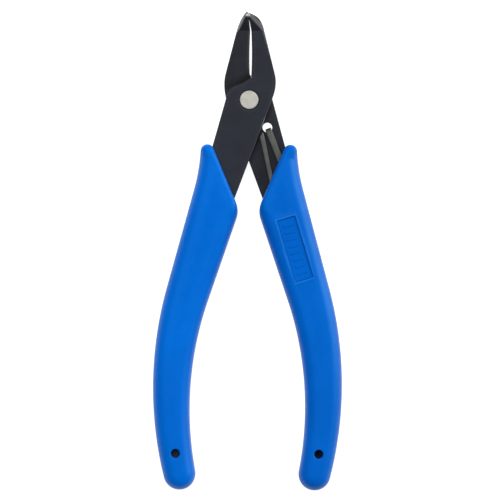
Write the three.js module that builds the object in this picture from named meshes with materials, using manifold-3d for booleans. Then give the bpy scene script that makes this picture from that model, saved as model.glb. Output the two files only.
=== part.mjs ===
// Sprue nippers for model making: two stamped steel halves lapped at a flush rivet, a flat hairpin
// return spring hooked into the rear half's arm, and a moulded grip on each handle.
//
// The tool lies on its back in the XY plane with its jaws towards +Y and its front towards +Z.
// While the pieces are made, the pivot axis is X = Y = 0 and the lap plane is Z = 0.
// The jaws are closed. The front half has the right jaw and the left handle.

import * as THREE from 'three';
import { mergeVertices } from 'three/addons/utils/BufferGeometryUtils.js';
import Module from 'manifold-3d';

// ---------------------------------------------------------------- driving dimensions (mm, degrees)

// Steel halves
const SHEET = 2; // thickness of each half
const LAP = 0.1; // running clearance between the lapped halves
const HUB_HALF_WIDTH = 6.25; // pivot to the outer edge of the hub
const HUB_TOP = 5.9; // pivot to where the front half's hub meets its jaw
const HUB_CORNER = { x: 5.9, y: 2.6 }; // control point of the hub's rounded corner
const HUB_SHOULDER = { x: 3.8, y: 3.45 }; // where that corner ends
const HUB_DIP = { x: 1.66, y: 4.34 }; // where the hub's upper edge turns up towards the gap
const NOTCH_Y = 0.4; // where a jaw's outer edge meets the inner edge of its own half's arm

// Jaws
const BEND_Y = 18.4; // pivot to the line where the tips turn forward
const TIP_REACH = 4.9; // bend line to the points, in plan
const TIP_ANGLE = 42; // how far the tips turn forward
const TIP_BEND_RADIUS = 0.6; // inside radius of that bend
const TIP_FLAT = 0.55; // length of the small flat on top of the points
const TIP_END_SLOPE = 66; // steepness of the end below that flat
const JAW_OFFSET = 0.25; // the pair of jaws sits this far right of the pivot
const JAW_SHOULDER = 3.65; // half-width of the pair at the bend line
const JAW_ROOT = { x: 6.58, y: 6.8 }; // where the straight flank starts to curve in
const JAW_BULGE = { x: 7.3, y: 3.9 }; // control point of that curve

// Gap between the jaws
const GAP_X = 0.33; // centre line of the gap
const GAP_FLOOR = 6.4; // pivot to the bottom of the gap
const GAP_ROOT = 0.45; // width just above the floor
const GAP_BOW = 0.96; // control width halfway up
const GAP_AT_BEND = 0.3; // width at the bend line
const EDGE_GAP = 0.08; // between the cutting edges, closed
const EDGE_Y = 21.3; // from here to the points the edges meet
const POINT_X = -0.5; // the parting line leans over to here at the points
const GRIND_RUNOUT = 0.6; // slant of the line where the ground flanks stop, near the bend
const TIP_NOTCH = 0.12; // depth of the small notch between the points
const POINT_SHORT = 0.4; // the right point ends this far below the left one
const GRIND_SHORT = 1.3; // both ground flanks end this far below it

// The two points' outlines in plan, keyed by side: 1 is the right jaw and -1 the left.
// y is measured from the bend line, and bow is the outer curve's control point.
const TIPS = {
  1: { bow: { x: 3.25, y: 3.8 }, point: { x: -0.04, y: TIP_REACH - POINT_SHORT } },
  [-1]: { bow: { x: -2.5, y: 3.2 }, point: { x: -0.75, y: TIP_REACH } },
};

// Their ground flanks. from and to are on the bent front face, with y from the bend line, and
// reach is how far out the bevel has run where it meets the back face.
const GRINDS = {
  1: { from: { x: 3.33, y: 0.05 }, to: { x: -0.15, y: TIP_REACH - GRIND_SHORT }, reach: 1.9 },
  [-1]: { from: { x: -2.6, y: 0.4 }, to: { x: -1, y: TIP_REACH - GRIND_SHORT }, reach: 1.3 },
};

// Where each half's hub meets the bottom of the gap
const CROTCHES = {
  1: [{ x: 0.57, y: HUB_TOP }, { x: 0.475, y: 6.38 }],
  [-1]: [{ x: 0.55, y: 5.6 }, { x: 0.45, y: 6.35 }],
};

// Joggle that lifts the rear half's jaw into the front layer
const JOGGLE_ANGLE = 21.4; // direction of the ramp's edges from the X axis
const JOGGLE_FOOT = 5.3; // pivot to the foot of the ramp
const JOGGLE_RUN = 1.5; // length of the ramp in plan

// Rivet
const RIVET_HEAD = 5; // diameter of the flush heads
const RIVET_SHANK = 3.6; // diameter between them
const RIVET_SINK = 0.9; // depth of the countersink
const RIVET_RIM = 0.2; // height of the heads' straight rim inside the sheet
const RIVET_PROUD = 0.15; // how far the heads stand out
const RIVET_CLEARANCE = 0.08; // radial, in the holes

// Arms
const ARM_CROSSING = 16.2; // pivot to where the two inner edges cross
const ARM_INNER_ANGLE = 20.4;
const ARM_INNER_END = 9.8; // the inner edges are straight for this far below their crossing
const ARM_INNER_JOIN = 22; // the tang's inner edge starts here along the handle
const ARM_OUTER_JOIN = 8; // and its outer edge here

// Handles: the centre line turns out, runs straight and curves back in
const HANDLE_X = 5.7; // where the centre line starts
const HANDLE_Y = 12;
const HANDLE_START_ANGLE = 3.5; // heading there, outwards from -Y
const HANDLE_SPLAY = 17; // heading of the straight stretch
const HANDLE_END_ANGLE = -12.5; // heading at the end
const HANDLE_TURN = 14; // length of the first turn
const HANDLE_STRAIGHT = 27; // length of the straight stretch
const HANDLE_SWEEP = 48.5; // length of the long inward curve

// Grips
const GRIP_THICKNESS = 9;
const GRIP_WIDE = 14.1; // width at the start of the centre line
const GRIP_NARROW = 8.5; // width at its end
const GRIP_ROUND = 3; // radius along the sides
const GRIP_WALL = 1.9; // from the tang's edge to the grip's side
const GRIP_FIT = 0.25; // clearance round the tang and the spring
const MOUTH_ANGLE = 23; // slant of the mouth from the Y axis
const MOUTH_X = 7.6; // a point on the mouth's edge
const MOUTH_Y = 17.2;
const MOUTH_TIP = 2.2; // the round end beside the mouth meets the outer side here, along the handle
const MOUTH_CORNER = 2.4; // rounding of the mouth's other corner
const END_HOLE = 2.34; // diameter of the sight hole near the grip's end
const END_HOLE_FROM_END = 5.6; // measured back along the centre line
const TANG_SHORT = 1.2; // the tang's end stops this far before the grip's

// Recessed panel on the right grip's front
const PANEL_LENGTH = 17.1;
const PANEL_WIDTH = 5.05;
const PANEL_DEPTH = 0.3;
const PANEL_ALONG = 28.5; // its middle, along the centre line

// Return spring
const SPRING_SHEET = 1; // thickness
const FIXED_LEG = 1.55; // width of the leg hooked into the rear arm
const FREE_LEG = 1.15; // width of the leg that pushes the front arm
const FIXED_ANGLE = 21.8; // heading of each leg, outwards from -Y
const FREE_ANGLE = 12.7;
const SPRING_HOLE = 2.6; // diameter of the hole in the rear arm
const SPRING_HOLE_X = 4.9;
const SPRING_HOLE_Y = 7.24;
const TAB_THICKNESS = 0.65; // of the leg's end, bent down into the hole
const TAB_FIT = 0.15; // clearance of the tab's outer corners in the hole
const TAB_CORNER_ANGLE = 30; // those corners, either side of the leg's line
const LOOP_RADIUS = 2.6; // of the loop's centre line
const TIP_UP_ARM = 7.4; // from the arms' crossing to where the free leg bears on the arm
const TIP_TOUCH = 0.35; // clearance of the free leg there
const FREE_END_PAST = 0.84; // the free leg runs on past that place by this much
const FREE_END_WIDTH = 0.35; // what its slanted corner leaves of its width
const FREE_END_SLANT = 38; // that corner's slant from the leg's line
const SPRING_SPLIT = 0.3; // gap between the free leg and the loop
const FREE_LEG_SWING = 6; // how far the free leg follows the arm as the tool opens

const CURVE_STEPS = 10; // outline points on each curve of the steel halves and the spring
const TURN_STEPS = 6; // on the handles' first turn
const SWEEP_STEPS = 14; // on their long curve
const END_STEPS = 12; // round their ends
const EDGE_STEPS = 4; // across the grips' rounded sides
const LOOP_STEPS = 16; // and round the spring's loop
const ROUND = 48; // facets of the rivet and of its holes
const FINE = 0.01; // how closely a crossing is found

// ---------------------------------------------------------------- derived levels and points

const rad = THREE.MathUtils.degToRad;
const FRONT_LAYER = LAP / 2; // back face of the front half
const REAR_LAYER = -LAP / 2 - SHEET; // back face of the rear half
const POINT_Y = BEND_Y + TIP_REACH;
const HANDLE_LENGTH = HANDLE_TURN + HANDLE_STRAIGHT + HANDLE_SWEEP;
const FAR = 150; // longer than any cut has to be

const STEEL = { roughness: 0.5, metalness: 0.8 };
const materials = {
  frontSteel: new THREE.MeshStandardMaterial({ color: 0x2f3239, ...STEEL }),
  rearSteel: new THREE.MeshStandardMaterial({ color: 0x24272c, ...STEEL }),
  rivet: new THREE.MeshStandardMaterial({ color: 0xbdbab1, roughness: 0.35, metalness: 1 }),
  spring: new THREE.MeshStandardMaterial({ color: 0x5b5e5c, roughness: 0.45, metalness: 0.9 }),
  leftGrip: new THREE.MeshStandardMaterial({ color: 0x0468cd, roughness: 0.55, metalness: 0 }),
  rightGrip: new THREE.MeshStandardMaterial({ color: 0x0059bd, roughness: 0.55, metalness: 0 }),
};

// ---------------------------------------------------------------- solids

const wasm = await Module();
wasm.setup();

/** The closed solid that a geometry bounds, ready to be joined or cut. */
function solid(geometry) {
  const bare = geometry.clone();
  bare.deleteAttribute('normal');
  bare.deleteAttribute('uv');
  const merged = mergeVertices(bare);
  const mesh = new wasm.Mesh({
    numProp: 3,
    vertProperties: new Float32Array(merged.attributes.position.array),
    triVerts: new Uint32Array(merged.index.array),
  });
  return new wasm.Manifold(mesh);
}

/** A named mesh made from a finished solid. */
function piece(name, body, material) {
  const { vertProperties, triVerts } = body.getMesh();
  const geometry = new THREE.BufferGeometry();
  geometry.setAttribute('position', new THREE.BufferAttribute(vertProperties, 3));
  geometry.setIndex(new THREE.BufferAttribute(triVerts, 1));
  geometry.computeVertexNormals();
  const mesh = new THREE.Mesh(geometry, material);
  mesh.name = name;
  return mesh;
}

function extruded(shape, depth) {
  return new THREE.ExtrudeGeometry(shape, { depth, bevelEnabled: false, curveSegments: CURVE_STEPS });
}

/** An outline extruded from one Z level to another. */
function slab(shape, from, to) {
  return solid(extruded(shape, to - from).translate(0, 0, from));
}

/**
 * A profile drawn as (distance from the pivot, Z) and extruded sideways.
 * At angle 0 the distance runs along +Y, and the angle turns that direction counterclockwise.
 */
function profilePrism(shape, angle) {
  const geometry = extruded(shape, 2 * FAR).translate(0, 0, -FAR);
  const away = new THREE.Vector3(-Math.sin(rad(angle)), Math.cos(rad(angle)), 0);
  const up = new THREE.Vector3(0, 0, 1);
  const side = new THREE.Vector3().crossVectors(away, up);
  return solid(geometry.applyMatrix4(new THREE.Matrix4().makeBasis(away, up, side)));
}

/** Everything beyond the plane through a point, on the side its normal points to. */
function halfSpace(point, normal) {
  const geometry = new THREE.BoxGeometry(2 * FAR, 2 * FAR, 2 * FAR).translate(0, 0, FAR);
  const up = new THREE.Vector3(0, 0, 1);
  const turn = new THREE.Quaternion().setFromUnitVectors(up, normal.clone().normalize());
  return solid(geometry.applyQuaternion(turn).translate(point.x, point.y, point.z));
}

/** A round bar along Z. */
function bar(x, y, radius, from, to) {
  const geometry = new THREE.CylinderGeometry(radius, radius, to - from, ROUND);
  return solid(geometry.rotateX(Math.PI / 2).translate(x, y, (from + to) / 2));
}

// ---------------------------------------------------------------- handle centre line

/** A point a length along a turn or a straight, and the heading there. */
function run(start, length, turn, along) {
  const from = rad(start.angle);
  const to = from + (rad(turn) * along) / length;
  if (turn === 0) {
    const { x, y, angle } = start;
    return { x: x + along * Math.sin(from), y: y + along * Math.cos(from), angle };
  }
  const radius = length / rad(turn);
  return {
    x: start.x + radius * (Math.cos(from) - Math.cos(to)),
    y: start.y + radius * (Math.sin(to) - Math.sin(from)),
    angle: THREE.MathUtils.radToDeg(to),
  };
}

/** The right handle's centre line: x outwards and y away from the jaws, both positive. */
function handlePoint(along) {
  const start = { x: HANDLE_X, y: HANDLE_Y, angle: HANDLE_START_ANGLE };
  const firstTurn = HANDLE_SPLAY - HANDLE_START_ANGLE;
  if (along <= HANDLE_TURN) return run(start, HANDLE_TURN, firstTurn, along);
  const turned = run(start, HANDLE_TURN, firstTurn, HANDLE_TURN);
  const onStraight = along - HANDLE_TURN;
  if (onStraight <= HANDLE_STRAIGHT) return run(turned, HANDLE_STRAIGHT, 0, onStraight);
  const straightened = run(turned, HANDLE_STRAIGHT, 0, HANDLE_STRAIGHT);
  const sweep = HANDLE_END_ANGLE - HANDLE_SPLAY;
  return run(straightened, HANDLE_SWEEP, sweep, onStraight - HANDLE_STRAIGHT);
}

function gripHalfWidth(along) {
  return THREE.MathUtils.lerp(GRIP_WIDE, GRIP_NARROW, along / HANDLE_LENGTH) / 2;
}

/** A point on the right handle, offset outwards from its centre line. */
function handleEdge(along, offset) {
  const { x, y, angle } = handlePoint(along);
  return new THREE.Vector2(x + offset * Math.cos(rad(angle)), -y + offset * Math.sin(rad(angle)));
}

/** Evenly spaced numbers from one to another, with both included. */
function spaced(from, to, steps) {
  return Array.from({ length: steps + 1 }, (_, i) => THREE.MathUtils.lerp(from, to, i / steps));
}

/** Places down the handle: close together on its turns, and only at the ends of its straight. */
function stations(from, end) {
  const firstTurn = from < HANDLE_TURN ? spaced(from, HANDLE_TURN, TURN_STEPS) : [from];
  return [...firstTurn, ...spaced(HANDLE_TURN + HANDLE_STRAIGHT, end, SWEEP_STEPS)];
}

/** Outline points down the handle's outer side, round its end and back up its inner side. */
function handleLoop(outerFrom, innerFrom, end, inset) {
  const edge = (along, side) => handleEdge(along, side * (gripHalfWidth(along) - inset));
  const { x, y, angle } = handlePoint(end);
  const radius = gripHalfWidth(end) - inset;
  const outer = stations(outerFrom, end).map((along) => edge(along, 1));
  const inner = stations(innerFrom, end).map((along) => edge(along, -1));
  const around = (turn) => new THREE.Vector2(x + radius * Math.cos(turn), -y + radius * Math.sin(turn));
  const round = spaced(rad(angle), rad(angle) - Math.PI, END_STEPS).slice(1, -1).map(around);
  return [...outer, ...round, ...inner.reverse()];
}

// ---------------------------------------------------------------- steel halves

/** Where an arm's inner edge is at a distance below the pivot, on the arm's own side. */
function armInnerX(below) {
  return (below - ARM_CROSSING) * Math.tan(rad(ARM_INNER_ANGLE));
}

/** The line that the two points part along: straight up the gap, then leaning over the tips. */
function partingX(y) {
  const lean = Math.max(0, (y - BEND_Y) / TIP_REACH);
  return THREE.MathUtils.lerp(GAP_X, POINT_X, lean);
}

/** One edge of the gap at a height, where the gap is this wide. */
function gapEdge(side, y, width) {
  return partingX(y) + (side * width) / 2;
}

/** Draws a jaw's edge that faces the gap, from the hub up to the notch at its point. */
function drawGapEdge(shape, side) {
  const [start, ...crotch] = CROTCHES[side];
  shape.moveTo(start.x, start.y);
  for (const { x, y } of crotch) shape.lineTo(x, y);
  shape.lineTo(gapEdge(side, GAP_FLOOR, GAP_ROOT), GAP_FLOOR + GAP_ROOT);
  const halfway = (GAP_FLOOR + BEND_Y) / 2;
  const bendX = gapEdge(side, BEND_Y, GAP_AT_BEND);
  shape.quadraticCurveTo(gapEdge(side, halfway, GAP_BOW), halfway, bendX, BEND_Y);
  shape.lineTo(gapEdge(side, EDGE_Y, EDGE_GAP), EDGE_Y);
  const notchY = BEND_Y + TIPS[side].point.y - TIP_NOTCH;
  shape.lineTo(gapEdge(side, notchY, EDGE_GAP), notchY);
}

/** Draws the rest of a jaw: over its point and down its outer flank to the arm. */
function drawFlank(shape, side) {
  const { point, bow } = TIPS[side];
  const jaw = (halfWidth) => side * halfWidth + JAW_OFFSET;
  shape.lineTo(point.x, BEND_Y + point.y);
  shape.quadraticCurveTo(bow.x, BEND_Y + bow.y, jaw(JAW_SHOULDER), BEND_Y);
  shape.lineTo(jaw(JAW_ROOT.x), JAW_ROOT.y);
  const notchX = -side * armInnerX(-NOTCH_Y);
  shape.quadraticCurveTo(jaw(JAW_BULGE.x), JAW_BULGE.y, notchX, NOTCH_Y);
}

/** Draws the arm and its tang, on the other side of the pivot from the jaw. */
function drawArm(shape, side) {
  const innerEnd = ARM_CROSSING + ARM_INNER_END;
  shape.lineTo(-side * armInnerX(innerEnd), -innerEnd);
  const tang = handleLoop(ARM_OUTER_JOIN, ARM_INNER_JOIN, HANDLE_LENGTH - TANG_SHORT, GRIP_WALL);
  for (const { x, y } of tang.reverse()) shape.lineTo(-side * x, y);
}

/** Draws the hub: up its outer edge and over its top. */
function drawHub(shape, side) {
  shape.lineTo(-side * HUB_HALF_WIDTH, 0);
  const shoulderX = -side * HUB_SHOULDER.x;
  shape.quadraticCurveTo(-side * HUB_CORNER.x, HUB_CORNER.y, shoulderX, HUB_SHOULDER.y);
  shape.lineTo(-side * HUB_DIP.x, HUB_DIP.y);
}

/** Outline of one half in plan. side is 1 for the half with the right jaw and -1 for the other. */
function halfOutline(side) {
  const shape = new THREE.Shape();
  drawGapEdge(shape, side);
  drawFlank(shape, side);
  drawArm(shape, side);
  drawHub(shape, side);
  shape.closePath();
  return shape;
}

/** Profile of the sheet from before the bend to past the points: flat, round the bend, then up. */
function bentProfile(from) {
  const turn = rad(TIP_ANGLE);
  const slope = Math.tan(turn);
  const inner = TIP_BEND_RADIUS;
  const outer = TIP_BEND_RADIUS + SHEET;
  const centre = { y: BEND_Y - inner * Math.tan(turn / 2), z: FRONT_LAYER + SHEET + inner };
  const frontZ = (y) => FRONT_LAYER + SHEET + (y - BEND_Y) * slope;
  const backZ = (y) => frontZ(y) - SHEET / Math.cos(turn);

  // The back of the end is under the points, and the flat is on top of them.
  const endZ = backZ(POINT_Y);
  const fall = Math.tan(rad(TIP_END_SLOPE));
  const flatEnd = (POINT_Y * fall + endZ - frontZ(0) + TIP_FLAT * slope) / (fall + slope);
  const flatStart = flatEnd - TIP_FLAT;
  const shape = new THREE.Shape();
  shape.moveTo(from, FRONT_LAYER);
  shape.absarc(centre.y, centre.z, outer, -Math.PI / 2, turn - Math.PI / 2, false);
  shape.lineTo(POINT_Y, endZ);
  shape.lineTo(flatEnd, frontZ(flatStart));
  shape.lineTo(flatStart, frontZ(flatStart));
  shape.absarc(centre.y, centre.z, inner, turn - Math.PI / 2, -Math.PI / 2, true);
  shape.lineTo(from, FRONT_LAYER + SHEET);
  shape.closePath();
  return shape;
}

/** Profile of the joggle, from the rear layer up to the front layer. */
function joggleProfile() {
  const rise = FRONT_LAYER - REAR_LAYER;
  const back = SHEET * Math.tan(Math.atan2(rise, JOGGLE_RUN) / 2);
  const shape = new THREE.Shape();
  shape.moveTo(-FAR, REAR_LAYER);
  shape.lineTo(JOGGLE_FOOT + back, REAR_LAYER);
  shape.lineTo(JOGGLE_FOOT + JOGGLE_RUN + back, FRONT_LAYER);
  shape.lineTo(FAR, FRONT_LAYER);
  shape.lineTo(FAR, FRONT_LAYER + SHEET);
  shape.lineTo(JOGGLE_FOOT + JOGGLE_RUN, FRONT_LAYER + SHEET);
  shape.lineTo(JOGGLE_FOOT, REAR_LAYER + SHEET);
  shape.lineTo(-FAR, REAR_LAYER + SHEET);
  shape.closePath();
  return shape;
}

/** The bevel ground along a point's outer flank, as the material that it takes away. */
function flankGrind(side) {
  const { from, to, reach } = GRINDS[side];
  const slope = Math.tan(rad(TIP_ANGLE));
  const onFront = ({ x, y }) => new THREE.Vector3(x, BEND_Y + y, FRONT_LAYER + SHEET + y * slope);
  const start = onFront(from);
  const edge = onFront(to).sub(start);
  const down = new THREE.Vector3(side * reach, 0, -SHEET / Math.cos(rad(TIP_ANGLE)));
  const normal = new THREE.Vector3().crossVectors(edge, down);
  const beyondBend = halfSpace(start, new THREE.Vector3(side * GRIND_RUNOUT, 1, 0));
  return halfSpace(start, normal.multiplyScalar(Math.sign(normal.z))).intersect(beyondBend);
}

/** The rivet's outline from the axis out, grown by a clearance for the holes. */
function rivetProfile(grow) {
  const top = FRONT_LAYER + SHEET;
  const head = RIVET_HEAD / 2 + grow;
  const shank = RIVET_SHANK / 2 + grow;
  const end = top + (grow > 0 ? SHEET : RIVET_PROUD);
  const half = [[head, end], [head, top - RIVET_RIM], [shank, top - RIVET_SINK]];
  const mirrored = half.map(([r, z]) => [r, -z]).reverse();
  const whole = [[0, end], ...half, ...mirrored, [0, -end]];
  return whole.map(([r, z]) => new THREE.Vector2(r, z)).reverse();
}

function rivetSolid(grow) {
  return solid(new THREE.LatheGeometry(rivetProfile(grow), ROUND).rotateX(Math.PI / 2));
}

function frontHalf() {
  const outline = slab(halfOutline(1), REAR_LAYER, 2 * SHEET + TIP_REACH);
  const sheet = profilePrism(bentProfile(-2 * FAR), 0);
  return outline.intersect(sheet).subtract(flankGrind(1)).subtract(rivetSolid(RIVET_CLEARANCE));
}

function rearHalf() {
  const outline = slab(halfOutline(-1), REAR_LAYER, 2 * SHEET + TIP_REACH);
  const beyond = halfSpace(new THREE.Vector3(0, BEND_Y - SHEET, 0), new THREE.Vector3(0, 1, 0));
  const joggled = profilePrism(joggleProfile(), JOGGLE_ANGLE).subtract(beyond);
  const bent = profilePrism(bentProfile(BEND_Y - 2 * SHEET), 0);
  const hole = bar(SPRING_HOLE_X, -SPRING_HOLE_Y, SPRING_HOLE / 2, 2 * REAR_LAYER, SHEET);
  const sheet = outline.intersect(joggled.add(bent));
  return sheet.subtract(flankGrind(-1)).subtract(rivetSolid(RIVET_CLEARANCE)).subtract(hole);
}

// ---------------------------------------------------------------- return spring

/** Unit vector along a leg, away from the jaws. */
function legDirection(angle) {
  return new THREE.Vector2(Math.sin(rad(angle)), -Math.cos(rad(angle)));
}

/** Unit vector across a leg, towards the handle's outer side. */
function legAcross(angle) {
  return new THREE.Vector2(Math.cos(rad(angle)), Math.sin(rad(angle)));
}

const hookedEnd = new THREE.Vector2(SPRING_HOLE_X, -SPRING_HOLE_Y);

/** Where the free leg's centre line passes the place that bears on the front arm's inner edge. */
function freeEnd() {
  const along = new THREE.Vector2(Math.sin(rad(ARM_INNER_ANGLE)), Math.cos(rad(ARM_INNER_ANGLE)));
  const off = new THREE.Vector2(along.y, -along.x).multiplyScalar(FREE_LEG / 2 + TIP_TOUCH);
  return new THREE.Vector2(0, -ARM_CROSSING).addScaledVector(along, TIP_UP_ARM).add(off);
}

/** The loop's centre: the point at the loop's radius from both legs' centre lines. */
function springLoop() {
  const offFixed = hookedEnd.clone().addScaledVector(legAcross(FIXED_ANGLE), -LOOP_RADIUS);
  const offFree = freeEnd().addScaledVector(legAcross(FREE_ANGLE), LOOP_RADIUS);
  const fixed = legDirection(FIXED_ANGLE);
  const free = legDirection(FREE_ANGLE);
  const between = offFree.clone().sub(offFixed);
  const along = between.cross(free) / fixed.cross(free);
  return offFixed.addScaledVector(fixed, along);
}

/** The leg's end, bent down into the hole in the rear arm. */
function springTab(legEnd, cornerRadius) {
  const across = legAcross(FIXED_ANGLE);
  const depth = legDirection(FIXED_ANGLE).multiplyScalar(TAB_THICKNESS);
  const half = cornerRadius * Math.sin(rad(TAB_CORNER_ANGLE));
  const near = legEnd.clone().addScaledVector(across, -half);
  const far = legEnd.clone().addScaledVector(across, half);
  const tab = new THREE.Shape([near, far, far.clone().add(depth), near.clone().add(depth)]);
  return slab(tab, REAR_LAYER, FRONT_LAYER + SPRING_SHEET);
}

/** The leg hooked into the rear arm, the loop, and the tab. */
function springFixed() {
  const loop = springLoop();
  const across = legAcross(FIXED_ANGLE);
  const cornerRadius = SPRING_HOLE / 2 - TAB_FIT;
  const tabStart = cornerRadius * Math.cos(rad(TAB_CORNER_ANGLE)) - TAB_THICKNESS;
  const legEnd = hookedEnd.clone().addScaledVector(legDirection(FIXED_ANGLE), tabStart);
  const foot = loop.clone().addScaledVector(across, LOOP_RADIUS);
  const corner = (base, offset) => base.clone().addScaledVector(across, offset);
  const outline = new THREE.Shape([
    corner(legEnd, -FIXED_LEG / 2),
    corner(legEnd, FIXED_LEG / 2),
    corner(foot, FIXED_LEG / 2),
    ...loopArc(loop, FIXED_LEG / 2, FREE_LEG / 2),
    ...loopArc(loop, -FIXED_LEG / 2, -FREE_LEG / 2).reverse(),
  ]);
  const leg = slab(outline, FRONT_LAYER, FRONT_LAYER + SPRING_SHEET);
  return leg.add(springTab(legEnd, cornerRadius));
}

/** Points round the loop from the fixed leg to the free leg, offset from its centre line. */
function loopArc(centre, fixedOffset, freeOffset) {
  const from = rad(FIXED_ANGLE);
  const to = rad(FREE_ANGLE) - Math.PI;
  return spaced(0, 1, LOOP_STEPS).map((share) => {
    const turn = THREE.MathUtils.lerp(from, to, share);
    const radius = LOOP_RADIUS + THREE.MathUtils.lerp(fixedOffset, freeOffset, share);
    return new THREE.Vector2(centre.x + radius * Math.cos(turn), centre.y + radius * Math.sin(turn));
  });
}

/** The straight leg that pushes the front arm, from its slanted end to just short of the loop. */
function springFree() {
  const across = legAcross(FREE_ANGLE);
  const up = legDirection(FREE_ANGLE).negate();
  const half = FREE_LEG / 2;
  const root = springLoop().addScaledVector(across, -LOOP_RADIUS);
  const beside = (base, offset, along) =>
    base.clone().addScaledVector(across, offset).addScaledVector(up, along);
  const cut = FREE_LEG - FREE_END_WIDTH;
  const cutStart = FREE_END_PAST - cut / Math.tan(rad(FREE_END_SLANT));
  const outline = new THREE.Shape([
    beside(root, half, SPRING_SPLIT),
    beside(freeEnd(), half, FREE_END_PAST),
    beside(freeEnd(), cut - half, FREE_END_PAST),
    beside(freeEnd(), -half, cutStart),
    beside(root, -half, SPRING_SPLIT),
  ]);
  return slab(outline, FRONT_LAYER, FRONT_LAYER + SPRING_SHEET);
}

// ---------------------------------------------------------------- grips

/** Where the mouth's line is at a height, on the right grip. */
function mouthX(y) {
  return MOUTH_X + (y + MOUTH_Y) * Math.tan(rad(MOUTH_ANGLE));
}

/** How far along the handle its inner side crosses the mouth's line. */
function mouthCrossing() {
  let outside = 0;
  let inside = HANDLE_LENGTH / 2;
  while (inside - outside > FINE) {
    const middle = (inside + outside) / 2;
    const edge = handleEdge(middle, -gripHalfWidth(middle));
    if (edge.x > mouthX(edge.y)) inside = middle;
    else outside = middle;
  }
  return inside;
}

/** The grip's round end beside its mouth: the circle that touches the mouth's line and its side. */
function mouthTip() {
  const slant = rad(MOUTH_ANGLE);
  const facing = rad(handlePoint(MOUTH_TIP).angle);
  const side = handleEdge(MOUTH_TIP, gripHalfWidth(MOUTH_TIP));
  const room = (side.x - mouthX(side.y)) * Math.cos(slant);
  const radius = room / (1 + Math.cos(facing + slant));
  const x = side.x - radius * Math.cos(facing);
  const y = side.y - radius * Math.sin(facing);
  return { x, y, radius, from: Math.PI - slant, to: facing };
}

/** Plan of the right grip, with its slanted mouth. */
function gripOutline() {
  const crossing = mouthCrossing();
  const low = handleEdge(crossing, -gripHalfWidth(crossing));
  const sides = handleLoop(MOUTH_TIP, crossing + MOUTH_CORNER, HANDLE_LENGTH, 0);
  const lowY = low.y + MOUTH_CORNER;
  const tip = mouthTip();
  const shape = new THREE.Shape();
  shape.absarc(tip.x, tip.y, tip.radius, tip.from, tip.to, true);
  for (const { x, y } of sides.slice(1)) shape.lineTo(x, y);
  shape.quadraticCurveTo(low.x, low.y, mouthX(lowY), lowY);
  shape.closePath();
  return shape;
}

/** The grip's body: rounded along its sides, flat front and back, cut to the mouth in plan. */
function gripBody() {
  const long = new THREE.Shape(handleLoop(-GRIP_WIDE, -GRIP_WIDE, HANDLE_LENGTH, 0));
  const half = GRIP_THICKNESS / 2;
  const rounded = new THREE.ExtrudeGeometry(long, {
    depth: GRIP_THICKNESS - 2 * GRIP_ROUND,
    bevelThickness: GRIP_ROUND,
    bevelSize: GRIP_ROUND,
    bevelOffset: -GRIP_ROUND,
    bevelSegments: EDGE_STEPS,
    curveSegments: 1,
  });
  const blank = solid(rounded.translate(0, 0, GRIP_ROUND - half));
  return blank.intersect(slab(gripOutline(), -GRIP_THICKNESS, GRIP_THICKNESS));
}

/** The slot that a tang slides into. */
function tangPocket(layer) {
  const inset = GRIP_WALL - GRIP_FIT;
  const points = handleLoop(-GRIP_WIDE, -GRIP_WIDE, HANDLE_LENGTH - TANG_SHORT, inset);
  return slab(new THREE.Shape(points), layer - GRIP_FIT, layer + SHEET + GRIP_FIT);
}

/** The room for the spring's loop and for its free leg to swing, open to the grip's mouth. */
function springPocket() {
  const loop = springLoop();
  const radius = LOOP_RADIUS + FIXED_LEG / 2 + GRIP_FIT;
  const swung = FREE_ANGLE + FREE_LEG_SWING;
  const left = loop.clone().addScaledVector(legAcross(swung), -radius);
  const right = loop.clone().addScaledVector(legAcross(FIXED_ANGLE), radius);
  const past = loop.distanceTo(freeEnd());
  const leftTop = left.clone().addScaledVector(legDirection(swung), -past);
  const rightTop = right.clone().addScaledVector(legDirection(FIXED_ANGLE), -past);
  const throat = new THREE.Shape([left, right, rightTop, leftTop]);
  const top = FRONT_LAYER + SPRING_SHEET + GRIP_FIT;
  const low = REAR_LAYER + SHEET / 2;
  return slab(throat, low, top).add(bar(loop.x, loop.y, radius, low, top));
}

/** The sight hole from the grip's front down to the tang. */
function sightHole(layer) {
  const { x, y } = handlePoint(HANDLE_LENGTH - END_HOLE_FROM_END);
  return bar(x, -y, END_HOLE / 2, layer + SHEET / 2, GRIP_THICKNESS);
}

/** The shallow panel moulded into the grip's front. */
function panelRecess() {
  const { x, y, angle } = handlePoint(PANEL_ALONG);
  const shape = new THREE.Shape();
  const across = PANEL_WIDTH / 2;
  const along = PANEL_LENGTH / 2;
  shape.moveTo(-across, -along);
  for (const [u, v] of [[across, -along], [across, along], [-across, along]]) shape.lineTo(u, v);
  shape.closePath();
  const floor = GRIP_THICKNESS / 2 - PANEL_DEPTH;
  return solid(extruded(shape, 2 * PANEL_DEPTH).rotateZ(rad(angle)).translate(x, -y, floor));
}

function rightGrip() {
  const hollow = tangPocket(REAR_LAYER).add(springPocket()).add(sightHole(REAR_LAYER));
  return gripBody().subtract(hollow).subtract(panelRecess());
}

function leftGrip() {
  const hollow = tangPocket(FRONT_LAYER).add(sightHole(FRONT_LAYER));
  return gripBody().subtract(hollow).mirror([1, 0, 0]);
}

// ---------------------------------------------------------------- assembly

const pieces = new THREE.Group();
pieces.add(
  piece('front_half', frontHalf(), materials.frontSteel),
  piece('rear_half', rearHalf(), materials.rearSteel),
  piece('pivot_rivet', rivetSolid(0), materials.rivet),
  piece('return_spring', springFixed(), materials.spring),
  piece('spring_free_leg', springFree(), materials.spring),
  piece('left_grip', leftGrip(), materials.leftGrip),
  piece('right_grip', rightGrip(), materials.rightGrip),
);

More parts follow.
